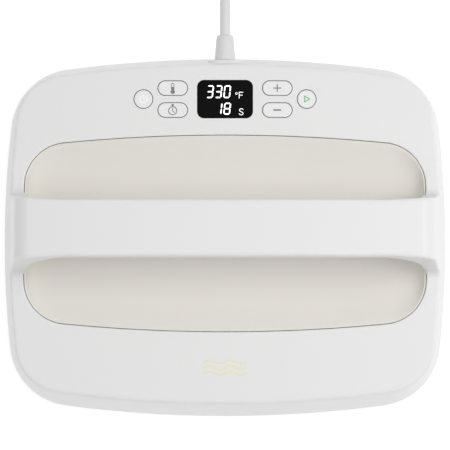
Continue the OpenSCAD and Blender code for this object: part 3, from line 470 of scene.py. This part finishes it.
# ---- Strain relief: moulded sleeve with a soft tip, its neck and its inner flange ----
def along_y(part, y0):
    """Lays a solid that stands along +Z along +Y instead, from y0 and at the cord's height."""
    v = np.asarray(part[0], float)
    return np.column_stack([v[:, 0], v[:, 2] + y0, CORD_Z - v[:, 1]]), part[1]


relief_y0 = EXIT_Y + 1.0
# (radius, distance along the cord), around the flange, the neck, the sleeve and the soft tip
relief_profile = [(3.83, -11.6), (7.6, -11.6), (7.6, -9.4), (6.0, -9.4), (6.0, -0.15),
                  (7.0, 0.0), (7.45, 0.35), (7.68, 1.1), (7.62, 2.0), (7.3, 5.0), (6.95, 9.0),
                  (6.6, 13.0), (6.32, 16.6), (6.15, 17.6), (5.8, 18.4), (5.2, 18.85), (4.5, 19.0),
                  (3.83, 18.9)]
relief = make_piece("strain_relief_sleeve",
                    *along_y(loft(turned(relief_profile, 72), loop=True), relief_y0),
                    "cord_grey", replaces=("strain_relief",))


# ---- Plug: moulded body with a grip waist, flange, blades and round ground pin ----
def place_on_plug(part):
    """Moves a solid along +Z onto the plug's axis; its X points down and its Y sideways."""
    start = Vector(TAIL[-1])
    side = Vector((0, 0, 1)).cross(PLUG_DIR)
    turn = Matrix((Vector((0, 0, -1)), side, PLUG_DIR)).transposed()
    v = np.asarray(part[0], float) @ np.array(turn).T + np.array(start)
    return v, part[1]


def blend_rings(stations):
    """Rounded rectangles from (half x, half y, corner radius, height)."""
    return [at_height(rounded(hx, hy, min(r, hx - 0.01, hy - 0.01), 10), z)
            for hx, hy, r, z in stations]


plug_stations = [(4.2, 4.2, 4.19, 0.05), (4.9, 4.9, 4.88, 0.5), (5.3, 5.3, 5.28, 4),
                 (5.9, 5.9, 5.85, 9), (6.7, 6.9, 6.6, 14), (7.4, 8.2, 6.9, 18),
                 (8.3, 10.4, 6.4, 20.5),
                 (9.1, 12.2, 6.0, 23), (9.35, 12.8, 6.0, 26), (9.1, 12.3, 6.0, 31),
                 (9.0, 12.0, 6.0, 35), (9.2, 12.5, 6.0, 39), (9.4, 12.9, 6.0, 42.6),
                 (9.4, 12.9, 6.0, 43.2), (9.75, 13.8, 6.4, 43.5), (9.8, 14.0, 6.5, 44.0),
                 (9.8, 14.0, 6.5, 45.4), (9.5, 13.7, 6.2, 45.95)]
plug = make_piece("mains_plug_body", *place_on_plug(loft(blend_rings(plug_stations))),
                  "cord_grey", replaces=("plug_body",))
BLADE_X, BLADE_Y, PIN_X = 4.15, 6.35, -5.4
blade_parts = []
for side in (-1, 1):
    blade = [at_height(rounded(hx, hy, 0.35, 4) + [BLADE_X, side * BLADE_Y], z)
             for hx, hy, z in [(3.15, 0.75, 46.05), (3.15, 0.75, 60.2), (2.75, 0.62, 61.6),
                               (2.3, 0.42, 62.05)]]
    blade_parts.append(loft(blade))
pin = [at_height(circle(r, 32, (PIN_X, 0)), z)
       for r, z in [(2.4, 46.05), (2.4, 62.4), (2.1, 64.0), (1.5, 64.8), (0.7, 65.05)]]
blade_parts.append(loft(pin))
blades = make_piece("mains_plug_blades", *place_on_plug(merge(blade_parts)), "plug_brass",
                    replaces=("plug_blades",))

# ---- Tie: a woven strap around the coil's near side ----
TIE_HX, TIE_HY, TIE_CORNER, TIE_T, TIE_HALF = 15.9, 7.95, 3.2, 0.8, 6.0
TIE_ROOM = 0.9                           # past the cord's outermost turn
tie_centre = (COIL_CENTRE[1] - COIL_R - CORD_R - TIE_ROOM + TIE_HX, TIE_T + TIE_HY)
tie_rings = [rounded(TIE_HX + grow, TIE_HY + grow, TIE_CORNER + grow, 8) + tie_centre
             for grow in (0.0, TIE_T)]
strap_rings = []
for x, ring in [(-TIE_HALF, 0), (TIE_HALF, 0), (TIE_HALF, 1), (-TIE_HALF, 1)]:
    pts = tie_rings[ring]
    strap_rings.append(np.column_stack([np.full(len(pts), COIL_CENTRE[0] + x), pts[:, 0],
                                        pts[:, 1]]))
tie = make_piece("cord_tie_strap", *loft(strap_rings, loop=True), "tie_fabric",
                 replaces=("cord_tie",))


# ---------------------------------------------------------------- the shell, from distances
def meet(a, b, r):
    """Intersection of two solids with an edge rounded to radius r."""
    return np.minimum(np.maximum(a, b), -r) + np.hypot(np.maximum(a + r, 0), np.maximum(b + r, 0))


def join_filleted(a, b, r):
    """Union of two solids with a fillet of radius r."""
    return np.maximum(r, np.minimum(a, b)) - np.hypot(np.maximum(r - a, 0), np.maximum(r - b, 0))


def arc_corner(s, t, qx, qy, n1, n2, r):
    """Distance to two edges s and t and the arc of radius r between their normals n1 and n2, with
    (qx, qy) measured from the arc's centre."""
    inside_wedge = (n1[0] * qy - n1[1] * qx >= 0) & (qx * n2[1] - qy * n2[0] >= 0)
    return np.where(inside_wedge, np.hypot(qx, qy) - r, np.maximum(s, t))


def plan_distance(x, y, hx, hy, end_r, side_r, r):
    """Distance to the plan outline of the same sizes, negative inside."""
    ax, ay = np.abs(x), np.abs(y)
    k1, k2 = hy - end_r, hx - side_r
    cx, cy = corner_centre(hx, hy, end_r, side_r, r)
    n_side = np.array([cx - k2, cy]) / math.hypot(cx - k2, cy)
    n_end = np.array([cx, cy - k1]) / math.hypot(cx, cy - k1)
    return arc_corner(np.hypot(ax - k2, ay) - side_r, np.hypot(ax, ay - k1) - end_r,
                      ax - cx, ay - cy, n_side, n_end, r)


def body_plan(x, y, inset):
    return plan_distance(x, y, *body_sizes(inset))


def rounded_box_2d(x, y, hx, hy, r):
    qx, qy = np.abs(x) - hx + r, np.abs(y) - hy + r
    return np.hypot(np.maximum(qx, 0), np.maximum(qy, 0)) + np.minimum(np.maximum(qx, qy), 0) - r


DECK_INSET = 10.2                        # the deck's edge sits a little inside the housing's
DECK_EDGE_R, WELL_EDGE_R = 1.8, 0.8
SIDE_N = (0.9876, 0.1570)                # normal of the legs' outer face
UNDER_N = (0.9632, 0.2689)               # normal of the legs' inner face
LEG_FOOT = (145.8, 49.8)                 # a point on the legs' inner face
ARMPIT = (112.0, 63.0, 29.0)             # arc from the inner face to the handle: centre, radius
CROWN_R, CROWN_DROP, CROWN_X = 9.5, 3.2, 140.0
STRAP_EDGE_R, STRAP_INNER_R, FOOT_FILLET = 2.0, 1.2, 4.5
FLARE, FLARE_TURN, FLARE_END, FLARE_POWER = 8.0, 100, 1.15, 1.35
SKIN, LINER_ROOM = 3.0, 16.5             # shell over the liner, and half the liner's channel
WINDOW_HOLE = (20.3, 14.05, 5.2)
HOLES_TOP = 60.0
LIP_OUTER, LIP_INNER, LIP_Z = 13.2, 15.4, 45.8


def arch_under(ax, z):
    """Negative in the hand's space under the handle."""
    leg = (ax - LEG_FOOT[0]) * UNDER_N[0] + (z - LEG_FOOT[1]) * UNDER_N[1]
    return arc_corner(leg, z - UNDER_Z, ax - ARMPIT[0], z - ARMPIT[1], UNDER_N, (0.0, 1.0),
                      ARMPIT[2])


def arch_outer(ax, z):
    """Distances to the legs' outer face, and to that face and the crown together."""
    side = (ax - BODY_HX + END_LEAN * DECK_INSET) * SIDE_N[0] + (z - PARTING_Z) * SIDE_N[1]
    crown = TOP_Z - CROWN_DROP * (ax / CROWN_X) ** 3
    return side, meet(side, z - crown, CROWN_R)


def handle_half_width(ax, z):
    """Half width of the handle, which flares down the legs."""
    angle = np.arctan2(z - ARMPIT[1], ax - ARMPIT[0])
    t = np.clip((math.pi / 2 - angle) / math.radians(FLARE_TURN), 0, FLARE_END)
    return HALF_HANDLE + FLARE * t ** FLARE_POWER


def panel_holes(x, y):
    """Negative in the holes for the window and the six keys."""
    ax = np.abs(x)
    dy = y - PANEL_Y
    window = rounded_box_2d(x, dy, *WINDOW_HOLE)
    rounds = np.hypot(ax - ROUND_X, dy) - ROUND_R
    pills = np.minimum(rounded_box_2d(ax - PILL_X, dy - PILL_Y, PILL_HX, PILL_R, PILL_R),
                       rounded_box_2d(ax - PILL_X, dy + PILL_Y, PILL_HX, PILL_R, PILL_R))
    return np.minimum(window, np.minimum(rounds, pills))


def shell_field(x, y, z):
    """Negative inside the shell: deck and strap handle joined, less the hand's space, the well,
    the liner's channel and the panel's holes, and with a lip that sits inside the housing."""
    ax, ay = np.abs(x), np.abs(y)
    plan = body_plan(x, y, DECK_INSET)
    well = plan_distance(x, y, *WELL)
    deck = np.maximum(meet(plan, z - DECK_Z, DECK_EDGE_R), PARTING_Z - z)
    deck = meet(deck, -well, WELL_EDGE_R)
    side, outer = arch_outer(ax, z)
    under = arch_under(ax, z)
    strap = meet(np.maximum(outer, PARTING_Z - z), ay - handle_half_width(ax, z), STRAP_EDGE_R)
    strap = meet(strap, -under, STRAP_INNER_R)
    body = join_filleted(deck, strap, FOOT_FILLET)
    body = np.maximum(body, np.maximum(plan, side))
    body = np.maximum(body, PARTING_Z - z)
    body = np.maximum(body, -np.maximum(under, DECK_Z - z))
    body = np.maximum(body, -np.maximum(well, z - DECK_Z - 0.2))
    channel = np.maximum(outer + SKIN, ay - LINER_ROOM)
    body = np.maximum(body, -np.maximum(channel, DECK_Z + 0.1 - z))
    body = np.maximum(body, -np.maximum(panel_holes(x, y), z - HOLES_TOP))
    lip = np.maximum(np.maximum(body_plan(x, y, LIP_OUTER), -body_plan(x, y, LIP_INNER)),
                     np.maximum(LIP_Z - z, z - PARTING_Z - 0.5))
    return np.minimum(body, lip)


BISECTIONS, PROBE, PULL = 9, 0.01, 0.06   # edge halvings, slope step, weight towards the mean


def contour(field, low, high, cell):
    """Closed surface of a distance field, with its sharp edges kept: one point in each crossed
    cell, where the surface's planes at the cell's crossings meet best."""
    axes = [np.arange(a, b + cell, cell) for a, b in zip(low, high)]
    shape = np.array([len(a) for a in axes])
    values = field(*np.meshgrid(*axes, indexing="ij"))
    inside = values < 0
    cells = shape - 1
    weights = np.array([cells[1] * cells[2], cells[2], 1])
    start = np.array(low, float)
    owners, places, normals, quads = [], [], [], []
    for axis in range(3):
        lower = [slice(None)] * 3
        upper = [slice(None)] * 3
        lower[axis], upper[axis] = slice(0, -1), slice(1, None)
        index = np.argwhere(inside[tuple(lower)] != inside[tuple(upper)])
        b, c = (axis + 1) % 3, (axis + 2) % 3
        index = index[(index[:, b] > 0) & (index[:, c] > 0)
                      & (index[:, b] < cells[b]) & (index[:, c] < cells[c])]
        first_inside = inside[tuple(index.T)]
        a = start + index * cell
        near, far = np.zeros(len(index)), np.ones(len(index))
        step = np.zeros(3)
        step[axis] = cell
        for _ in range(BISECTIONS):
            middle = (near + far) / 2
            p = a + middle[:, None] * step
            same = (field(*p.T) < 0) == first_inside
            near, far = np.where(same, middle, near), np.where(same, far, middle)
        p = a + ((near + far) / 2)[:, None] * step
        slope = np.column_stack([field(*(p + d).T) - field(*(p - d).T)
                                 for d in np.eye(3) * PROBE])
        slope /= np.maximum(np.linalg.norm(slope, axis=1), 1e-9)[:, None]
        ring = []
        for db, dc in ((0, 0), (-1, 0), (-1, -1), (0, -1)):
            around = index.copy()
            around[:, b] += db
            around[:, c] += dc
            ring.append(around @ weights)
        ring = np.column_stack(ring)
        quads.append(np.where(first_inside[:, None], ring, ring[:, ::-1]))
        owners.append(ring.ravel())
        places.append(np.repeat(p, 4, axis=0))
        normals.append(np.repeat(slope, 4, axis=0))
    owners = np.concatenate(owners)
    places, normals = np.concatenate(places), np.concatenate(normals)
    keys, inverse = np.unique(owners, return_inverse=True)
    count = np.bincount(inverse).astype(float)
    mean = np.column_stack([np.bincount(inverse, places[:, i]) for i in range(3)]) / count[:, None]
    offset = (normals * (places - mean[inverse])).sum(1)
    matrix = np.zeros((len(keys), 3, 3))
    vector = np.zeros((len(keys), 3))
    for i in range(3):
        vector[:, i] = np.bincount(inverse, normals[:, i] * offset)
        for j in range(3):
            matrix[:, i, j] = np.bincount(inverse, normals[:, i] * normals[:, j])
    matrix += np.eye(3) * PULL
    shift = np.linalg.solve(matrix, vector[:, :, None])[:, :, 0]
    points = mean + shift
    corner = np.column_stack(np.unravel_index(keys, cells)) * cell + start
    points = np.clip(points, corner, corner + cell)
    faces = np.searchsorted(keys, np.concatenate(quads))
    return points, [tuple(int(v) for v in f) for f in faces]


# The box has to lie wholly outside the shell, or its surface is left open there.
SHELL_LOW, SHELL_HIGH = (-158.4, -126.4, 44.2), (158.4, 126.4, 120.2)
SHELL_CELL = 1.36
make_piece("white_top_shell", *contour(shell_field, SHELL_LOW, SHELL_HIGH, SHELL_CELL),
           "white_shell", sharp=40, replaces=("top_shell",))

# ---- Base housing: flared skirt with a rounded foot, and the collar for the cord ----
FOOT_ROUND, FULLNESS = 1.5, 2.0


def skirt_inset(z):
    """Inset of the outer wall, slightly full in the middle."""
    u = (z - FOOT_Z - FOOT_ROUND) / (HOUSING_TOP - FOOT_Z - FOOT_ROUND)
    return LEAN * u - FULLNESS * u * (1 - u)


skirt = [at_height(body_ring(2.4), FOOT_Z), at_height(body_ring(1.0), FOOT_Z),
         at_height(body_ring(0.35), FOOT_Z + 0.35), at_height(body_ring(0.05), FOOT_Z + 0.9)]
for z in np.linspace(FOOT_Z + FOOT_ROUND, HOUSING_TOP - 0.6, 14):
    skirt.append(at_height(body_ring(skirt_inset(z)), z))
skirt += [at_height(body_ring(LEAN + 0.12), HOUSING_TOP - 0.2),
          at_height(body_ring(LEAN + 0.45), HOUSING_TOP),
          at_height(body_ring(LEAN + WALL), HOUSING_TOP)]
for z in np.linspace(HOUSING_TOP - 1.0, FOOT_Z + FOOT_ROUND, 12):
    skirt.append(at_height(body_ring(skirt_inset(z) + WALL), z))
skirt.append(at_height(body_ring(WALL), FOOT_Z))
housing = make_piece("white_base_housing", *loft(skirt, loop=True), "white_shell",
                     replaces=("base_housing",))


COLLAR_HX, COLLAR_HY, COLLAR_R, COLLAR_EDGE = 13.0, 8.8, 8.75, 0.4
COLLAR_Y0, COLLAR_Y1 = EXIT_Y - 8.0, EXIT_Y + 0.7
BORE_R, BORE_Y0, BORE_DEPTH = 6.15, EXIT_Y - 14, 30
face = COLLAR_EDGE * 0.6                 # the collar's rim steps in by this much
collar = [at_height(rounded(COLLAR_HX, COLLAR_HY, COLLAR_R, 14), 0),
          at_height(rounded(COLLAR_HX, COLLAR_HY, COLLAR_R, 14),
                    COLLAR_Y1 - COLLAR_Y0 - COLLAR_EDGE),
          at_height(rounded(COLLAR_HX - face, COLLAR_HY - face, COLLAR_R - 0.3, 14),
                    COLLAR_Y1 - COLLAR_Y0)]
bore = loft(turned([(BORE_R, 0), (BORE_R, BORE_DEPTH)], 48))
combine(housing, solid_object("tool", *along_y(loft(collar), COLLAR_Y0)), "UNION")
combine(housing, solid_object("tool", *along_y(bore, BORE_Y0)), "DIFFERENCE")
dress(housing, "white_shell")

# ---- Heating plate and its gasket ----
# (inset, height)
plate_levels = [(1.3, 0.0), (0.8, 0.08), (0.35, 0.35), (0.08, 0.8), (0.0, 1.3), (0.0, 9.7),
                (0.3, 10.0)]
make_piece("coated_heating_plate",
           *loft([at_height(plate_ring(inset), z) for inset, z in plate_levels]),
           "coated_plate", sharp=50, replaces=("sole_plate",))
GASKET_TOP, GASKET_GAP = 9.4, 0.15
inside_wall = body_ring(lean_at(GASKET_TOP) + WALL + GASKET_GAP)
gasket_levels = [(plate_ring(-GASKET_GAP), 7.0), (plate_ring(-GASKET_GAP), 9.2),
                 (plate_ring(-0.5), GASKET_TOP),
                 (inside_wall, GASKET_TOP), (inside_wall, 7.2), (body_ring(WALL + 1.4), 7.0)]
make_piece("plate_edge_gasket", *loft([at_height(o, z) for o, z in gasket_levels], loop=True),
           "gasket_rubber", replaces=("plate_gasket",))

# ---- Well tray: dished bowl with a fine lip ----
TRAY_TOP, TRAY_T, TRAY_DEPTH = 51.5, 2.4, 14.0
TRAY_HX, TRAY_HY, TRAY_CORNER = 144.2, 69.8, 30
FLOOR_IN, FLOOR_HY, FLOOR_CORNER = 20, 14.0, 6   # the floor's ends step in by FLOOR_IN
RIM_T, TRAY_GROW = 0.02, 0.6             # where the bowl meets its lip; the underside's growth


def dish_z(t):
    """The bowl's height at depth t, from 0 at its lip to 1 at its floor."""
    return TRAY_TOP - TRAY_DEPTH * (1 - (1 - t) ** 2)


def dish_ring(t, grow):
    """The bowl's outline at depth t. A floor much narrower than this would cross itself."""
    return outline(TRAY_HX - FLOOR_IN * t * t + grow, TRAY_HY * (1 - t) + FLOOR_HY * t + grow,
                   *WELL_BOWS, TRAY_CORNER * (1 - t) + FLOOR_CORNER * t + grow)


tray_rings = []
for t in np.linspace(1, RIM_T, 22):
    tray_rings.append(at_height(dish_ring(t, TRAY_GROW), dish_z(t) - TRAY_T))
tray_rings += [at_height(dish_ring(0, 1.2), TRAY_TOP - TRAY_T),
               at_height(dish_ring(0, 1.2), TRAY_TOP - 0.3),
               at_height(dish_ring(0, 0.95), TRAY_TOP), at_height(dish_ring(0, 0.35), TRAY_TOP),
               at_height(dish_ring(0, 0.05), TRAY_TOP - 0.2)]
for t in np.linspace(RIM_T, 1, 32):
    tray_rings.append(at_height(dish_ring(t, 0), dish_z(t)))
make_piece("cream_well_tray", *loft(tray_rings), "cream_liner", replaces=("well_tray",))

# ---- Handle liner: the cream inner half of the handle ----
GRIP_HALF, GRIP_T = 16.2, 3.0
LEG_STEPS, BEND_STEPS, SPAN_STEPS = 8, 20, 28
GRIP_SCREW_X = (-84, -28, 28, 84)


def liner_path():
    """Points of the hand space's edge and its outward normals, from foot to foot."""
    pts, nrm = [], []
    tangent = (ARMPIT[0] + ARMPIT[2] * UNDER_N[0], ARMPIT[1] + ARMPIT[2] * UNDER_N[1])
    foot_z = DECK_Z + 0.3
    foot_x = LEG_FOOT[0] - (foot_z - LEG_FOOT[1]) * UNDER_N[1] / UNDER_N[0]
    for i in range(LEG_STEPS):
        u = i / LEG_STEPS
        pts.append((foot_x + (tangent[0] - foot_x) * u, foot_z + (tangent[1] - foot_z) * u))
        nrm.append(UNDER_N)
    a0 = math.atan2(UNDER_N[1], UNDER_N[0])
    for i in range(BEND_STEPS + 1):
        a = a0 + (math.pi / 2 - a0) * i / BEND_STEPS
        pts.append((ARMPIT[0] + ARMPIT[2] * math.cos(a), ARMPIT[1] + ARMPIT[2] * math.sin(a)))
        nrm.append((math.cos(a), math.sin(a)))
    for x in np.linspace(ARMPIT[0], 0, SPAN_STEPS)[1:]:
        pts.append((x, UNDER_Z))
        nrm.append((0.0, 1.0))
    left = [(-x, z) for x, z in pts[-2::-1]]
    left_n = [(-a, b) for a, b in nrm[-2::-1]]
    return pts + left, nrm + left_n


section = [(-GRIP_HALF, GRIP_T), (-GRIP_HALF, 0.9), (-GRIP_HALF + 0.25, 0.3),
           (-GRIP_HALF + 0.9, 0.0)]
section += [(y, 0.0) for y in np.linspace(-12, 12, 9)]
section += [(-y, d) for y, d in section[3::-1]]
path, path_normals = liner_path()
liner_rings = []
for (x, z), (nx, nz) in zip(path, path_normals):
    liner_rings.append(np.array([(x + nx * d, y, z + nz * d) for y, d in section]))
liner = make_piece("cream_handle_liner", *loft(liner_rings), "cream_liner",
                   replaces=("grip_underside",))
for x in GRIP_SCREW_X:
    hole = loft([at_height(circle(r, 40, (x, 0)), z)
                 for r, z in [(3.4, 91.5), (3.0, 92.3), (3.0, 93.9), (1.7, 93.9), (1.7, 99)]])
    combine(liner, solid_object("tool", *hole), "DIFFERENCE")
dress(liner, "cream_liner")

# ---------------------------------------------------------------- panel: caps, prints and display
CAPS = {"power": (-ROUND_X, 0.0), "start": (ROUND_X, 0.0), "temperature": (-PILL_X, PILL_Y),
        "timer": (-PILL_X, -PILL_Y), "plus": (PILL_X, PILL_Y), "minus": (PILL_X, -PILL_Y)}
CAP_GAP = 0.55


def cap_solid(round_cap):
    """A key cap with a softly rounded edge and its hidden flange."""
    levels = [(-1.2, 46.9), (-1.2, 48.2), (0.0, 48.2), (0.0, CAP_TOP - 0.55),
              (0.06, CAP_TOP - 0.3), (0.2, CAP_TOP - 0.12), (0.42, CAP_TOP - 0.03),
              (0.75, CAP_TOP), (2.2, CAP_TOP - 0.02), (3.6, CAP_TOP - 0.05)]
    rings = []
    for inset, z in levels:
        r = (ROUND_R if round_cap else PILL_R) - CAP_GAP - inset
        shape = circle(r, 96) if round_cap else rounded(PILL_HX - CAP_GAP - inset, r, r - 0.001, 24)
        rings.append(at_height(shape, z))
    stem = loft(turned([(2.0, 46.0), (2.0, 47.0)], 32))
    return merge([loft(rings), stem])


CAP_STEPS = 6


def round_end(centre, edge, radius):
    """Points of a half circle about a stroke's end, starting after one edge."""
    start = math.atan2(edge[1] - centre[1], edge[0] - centre[0])
    angles = [start + math.pi * i / CAP_STEPS for i in range(1, CAP_STEPS)]
    return [centre + radius * np.array([math.cos(a), math.sin(a)]) for a in angles]


def prism(shape, z0, z1):
    return loft([at_height(shape, z0), at_height(shape, z1)])


def stroke(points, width, z0, z1, closed=False):
    """A flat stroke of even width along points: a ring if closed, or else with round ends."""
    p = np.asarray(points, float)
    before = np.roll(p, 1, axis=0) if closed else np.vstack([2 * p[0] - p[1], p[:-1]])
    after = np.roll(p, -1, axis=0) if closed else np.vstack([p[1:], 2 * p[-1] - p[-2]])
    d1 = (p - before) / np.linalg.norm(p - before, axis=1)[:, None]
    d2 = (after - p) / np.linalg.norm(after - p, axis=1)[:, None]
    n1, n2 = np.column_stack([-d1[:, 1], d1[:, 0]]), np.column_stack([-d2[:, 1], d2[:, 0]])
    mitre = n1 + n2
    mitre /= np.linalg.norm(mitre, axis=1)[:, None]
    reach = width / 2 / np.maximum((mitre * n1).sum(1), 0.35)
    left, right = p + mitre * reach[:, None], p - mitre * reach[:, None]
    if closed:
        return loft([at_height(left, z0), at_height(left, z1), at_height(right, z1),
                     at_height(right, z0)], loop=True)
    return prism(np.array([*left[::-1], *round_end(p[0], left[0], width / 2), *right,
                           *round_end(p[-1], right[-1], width / 2)]), z0, z1)


def arc(centre, r, a0, a1, steps):
    """Points of an arc from angle a0 to a1, in degrees."""
    a = np.radians(np.linspace(a0, a1, steps + 1))
    return np.column_stack([centre[0] + r * np.cos(a), centre[1] + r * np.sin(a)])


INK = (CAP_TOP - 0.06, CAP_TOP + 0.04)   # bottom and top of the marks on the caps


def icon_parts(key):
    """The solids of one cap's mark, about the cap's centre."""
    if key == "power":
        return [stroke(arc((0, -0.25), 2.5, 122, 418, 40), 0.85, *INK),
                stroke([(0, 0.3), (0, 2.9)], 0.85, *INK)]
    if key == "start":
        return [stroke(np.array([(-1.45, -2.1), (-1.45, 2.1), (2.15, 0)]), 0.6, *INK, closed=True)]
    if key == "temperature":
        tube = [(-1.15, -1.0), (-1.15, 3.0), *arc((0, 3.0), 1.15, 180, 0, 12)[1:-1],
                (1.15, 3.0), (1.15, -1.0)]
        bulb = [(0.85, -0.7), *arc((0, -3.3), 1.95, 62, -242, 30), (-0.85, -0.7),
                (-0.85, 0.9), (0.85, 0.9)][::-1]
        parts = [stroke(tube, 0.6, *INK), prism(np.array(bulb), *INK)]
        return [(part[0] * [0.83, 0.83, 1.0], part[1]) for part in parts]
    if key == "timer":
        crown = rounded(0.95, 0.75, 0.3, 4) + [0, 3.95]
        parts = [stroke(circle(3.25, 48, (0, -0.55)), 0.68, *INK, closed=True), prism(crown, *INK),
                 stroke([(0, 1.2), (0, -0.7), (1.35, -2.0)], 0.62, *INK)]
        return [(part[0] * [0.91, 0.91, 1.0], part[1]) for part in parts]
    if key == "plus":
        a, b = 2.8, 0.38
        return [prism(np.array([(a, b), (b, b), (b, a), (-b, a), (-b, b), (-a, b), (-a, -b),
                                (-b, -b), (-b, -a), (b, -a), (b, -b), (a, -b)]), *INK)]
    return [prism(rounded(2.8, 0.55, 0.2, 3), *INK)]


INKS = {"power": PRINT_WHITE, "start": PRINT_GREEN}
for key, (x, y) in CAPS.items():
    place = (x, PANEL_Y + y, 0)
    is_round = key in ("power", "start")
    make_piece(f"{key}_cap", *moved(cap_solid(is_round), place), "button_white", f"{key}_key",
               replaces=(f"{key}_button",), sharp=32)
    make_piece(f"{key}_mark", *moved(merge(icon_parts(key)), place), "button_white",
               f"{key}_key", material=INKS.get(key, PRINT_GREY))

# ---- Display window ----
window_rings = [at_height(rounded(19.9 - i, 13.65 - i, 4.8 - i, 14), z)
                for i, z in [(0.0, 50.1), (0.0, 51.9), (0.1, 52.08), (0.3, 52.18), (0.6, 52.2)]]
make_piece("display_glass", *moved(loft(window_rings), (0, PANEL_Y, 0)), "black_gloss",
           replaces=("display_window",))
DIGIT_Z = (52.15, 52.24)
DIGIT_W, DIGIT_STROKE, DIGIT_GAP = 4.0, 0.95, 0.16
TOP_ROW_Y, TOP_ROW_H, LOW_ROW_Y, LOW_ROW_H = 5.4, 8.4, -6.95, 7.8
SEGMENTS = {"3": "abgcd", "0": "abcdef", "1": "bc", "8": "abcdefg"}
SLANT = 0.11


def digit(value, centre, height):
    """Seven-segment numeral, slightly slanted."""
    w, h, g, t = DIGIT_W / 2, height / 2, DIGIT_GAP, DIGIT_STROKE / 2
    ends = {"a": ((-w, h), (w, h)), "g": ((-w, 0), (w, 0)), "d": ((-w, -h), (w, -h)),
            "f": ((-w, 0), (-w, h)), "b": ((w, 0), (w, h)), "e": ((-w, -h), (-w, 0)),
            "c": ((w, -h), (w, 0))}
    parts = []
    for name in SEGMENTS[value]:
        (x0, y0), (x1, y1) = ends[name]
        if y0 == y1:
            shape = [(x0 + g, y0), (x0 + g + t, y0 + t), (x1 - g - t, y0 + t), (x1 - g, y0),
                     (x1 - g - t, y0 - t), (x0 + g + t, y0 - t)]
        else:
            shape = [(x0, y0 + g), (x0 + t, y0 + g + t), (x0 + t, y1 - g - t), (x0, y1 - g),
                     (x0 - t, y1 - g - t), (x0 - t, y0 + g + t)]
        shape = np.array(shape)
        shape[:, 0] += shape[:, 1] * SLANT
        parts.append(prism(shape + centre, *DIGIT_Z))
    return parts


digits = []
for value, x in zip("330", (-10.8, -4.6, 1.6)):
    digits += digit(value, (x, TOP_ROW_Y), TOP_ROW_H)
for value, x in zip("18", (-4.6, 1.6)):
    digits += digit(value, (x, LOW_ROW_Y), LOW_ROW_H)
# the unit letters: a small ring and an F beside the top row, an S beside the low one
curl = [(13.1, -7.75), (12.7, -7.15), (11.95, -6.95), (11.1, -7.15), (10.55, -7.7), (10.5, -8.35),
        (11.0, -8.9), (12.1, -9.35), (12.95, -9.9), (13.15, -10.6), (12.75, -11.2), (11.9, -11.5),
        (10.9, -11.3), (10.3, -10.65)]
digits += [stroke(circle(0.72, 24, (8.3, 4.1)), 0.28, *DIGIT_Z, closed=True),
           stroke([(10.3, 0.7), (10.3, 5.0), (13.1, 5.0)], 0.4, *DIGIT_Z),
           stroke([(10.6, 2.9), (12.6, 2.9)], 0.4, *DIGIT_Z), stroke(curl, 0.4, *DIGIT_Z)]
make_piece("display_digits", *moved(merge(digits), (0, PANEL_Y, 0)), "black_gloss",
           material=LIT_DIGIT)

# ---- Printed heat waves on the front deck, in place of any name ----
WAVES_Y, WAVE_HALF, WAVE_HEIGHT, WAVE_STEP, WAVE_W = -96.9, 15, 1.15, 4.2, 1.25
waves = []
for row in (-1, 0, 1):
    xs = np.linspace(-WAVE_HALF, WAVE_HALF, 41)
    ys = WAVE_HEIGHT * np.sin((xs + WAVE_HALF) / (2 * WAVE_HALF) * 4 * math.pi) + row * WAVE_STEP
    waves.append(stroke(np.column_stack([xs, ys]), WAVE_W, DECK_Z - 0.03, DECK_Z + 0.04))
make_piece("heat_waves_print", *moved(merge(waves), (0, WAVES_Y, 0)), "white_shell",
           material=PRINT_YELLOW)

# ---------------------------------------------------------------- CAD pieces that stay
slot_of = {part["node"]: part["material_slot"] for part in frame["record"]["subparts"]}
for name, node in frame["nodes"].items():
    dress(node, slot_of[name], sharp=35)

# ---------------------------------------------------------------- studio
floor_mesh = bpy.data.meshes.new("studio_floor")
PAPER_HALF, PAPER_Z = 6, -0.0006          # in metres
floor_mesh.from_pydata([(sx * PAPER_HALF, sy * PAPER_HALF, PAPER_Z)
                        for sx, sy in ((-1, -1), (1, -1), (1, 1), (-1, 1))], [], [(0, 1, 2, 3)])
floor = bpy.data.objects.new("studio_floor", floor_mesh)
scene.collection.objects.link(floor)
floor_mesh.materials.append(finish("floor_paper", (0.40, 0.40, 0.40), 0.9, scale=300, bump=0.02,
                                   mottle=0.004, emit=1.9, specular=0.1))

world = bpy.data.worlds.new("studio")
world.use_nodes = True
world.node_tree.nodes["Background"].inputs["Color"].default_value = (1.0, 1.0, 1.0, 1.0)
world.node_tree.nodes["Background"].inputs["Strength"].default_value = 0.55
scene.world = world
scene.view_settings.view_transform = "Standard"


def area_light(name, place, target, size, power):
    """A round lamp at place, turned towards target."""
    data = bpy.data.lights.new(name, "AREA")
    data.shape = "DISK"
    data.size = size
    data.energy = power
    lamp = bpy.data.objects.new(name, data)
    lamp.location = place
    lamp.rotation_euler = (Vector(target) - Vector(place)).to_track_quat("-Z", "Y").to_euler()
    scene.collection.objects.link(lamp)


area_light("key_right", (0.95, 0.08, 1.3), (0, 0, 0.05), 0.8, 6.9)
area_light("soft_top", (0.2, 0.02, 2.3), (0, 0, 0), 1.6, 10.2)
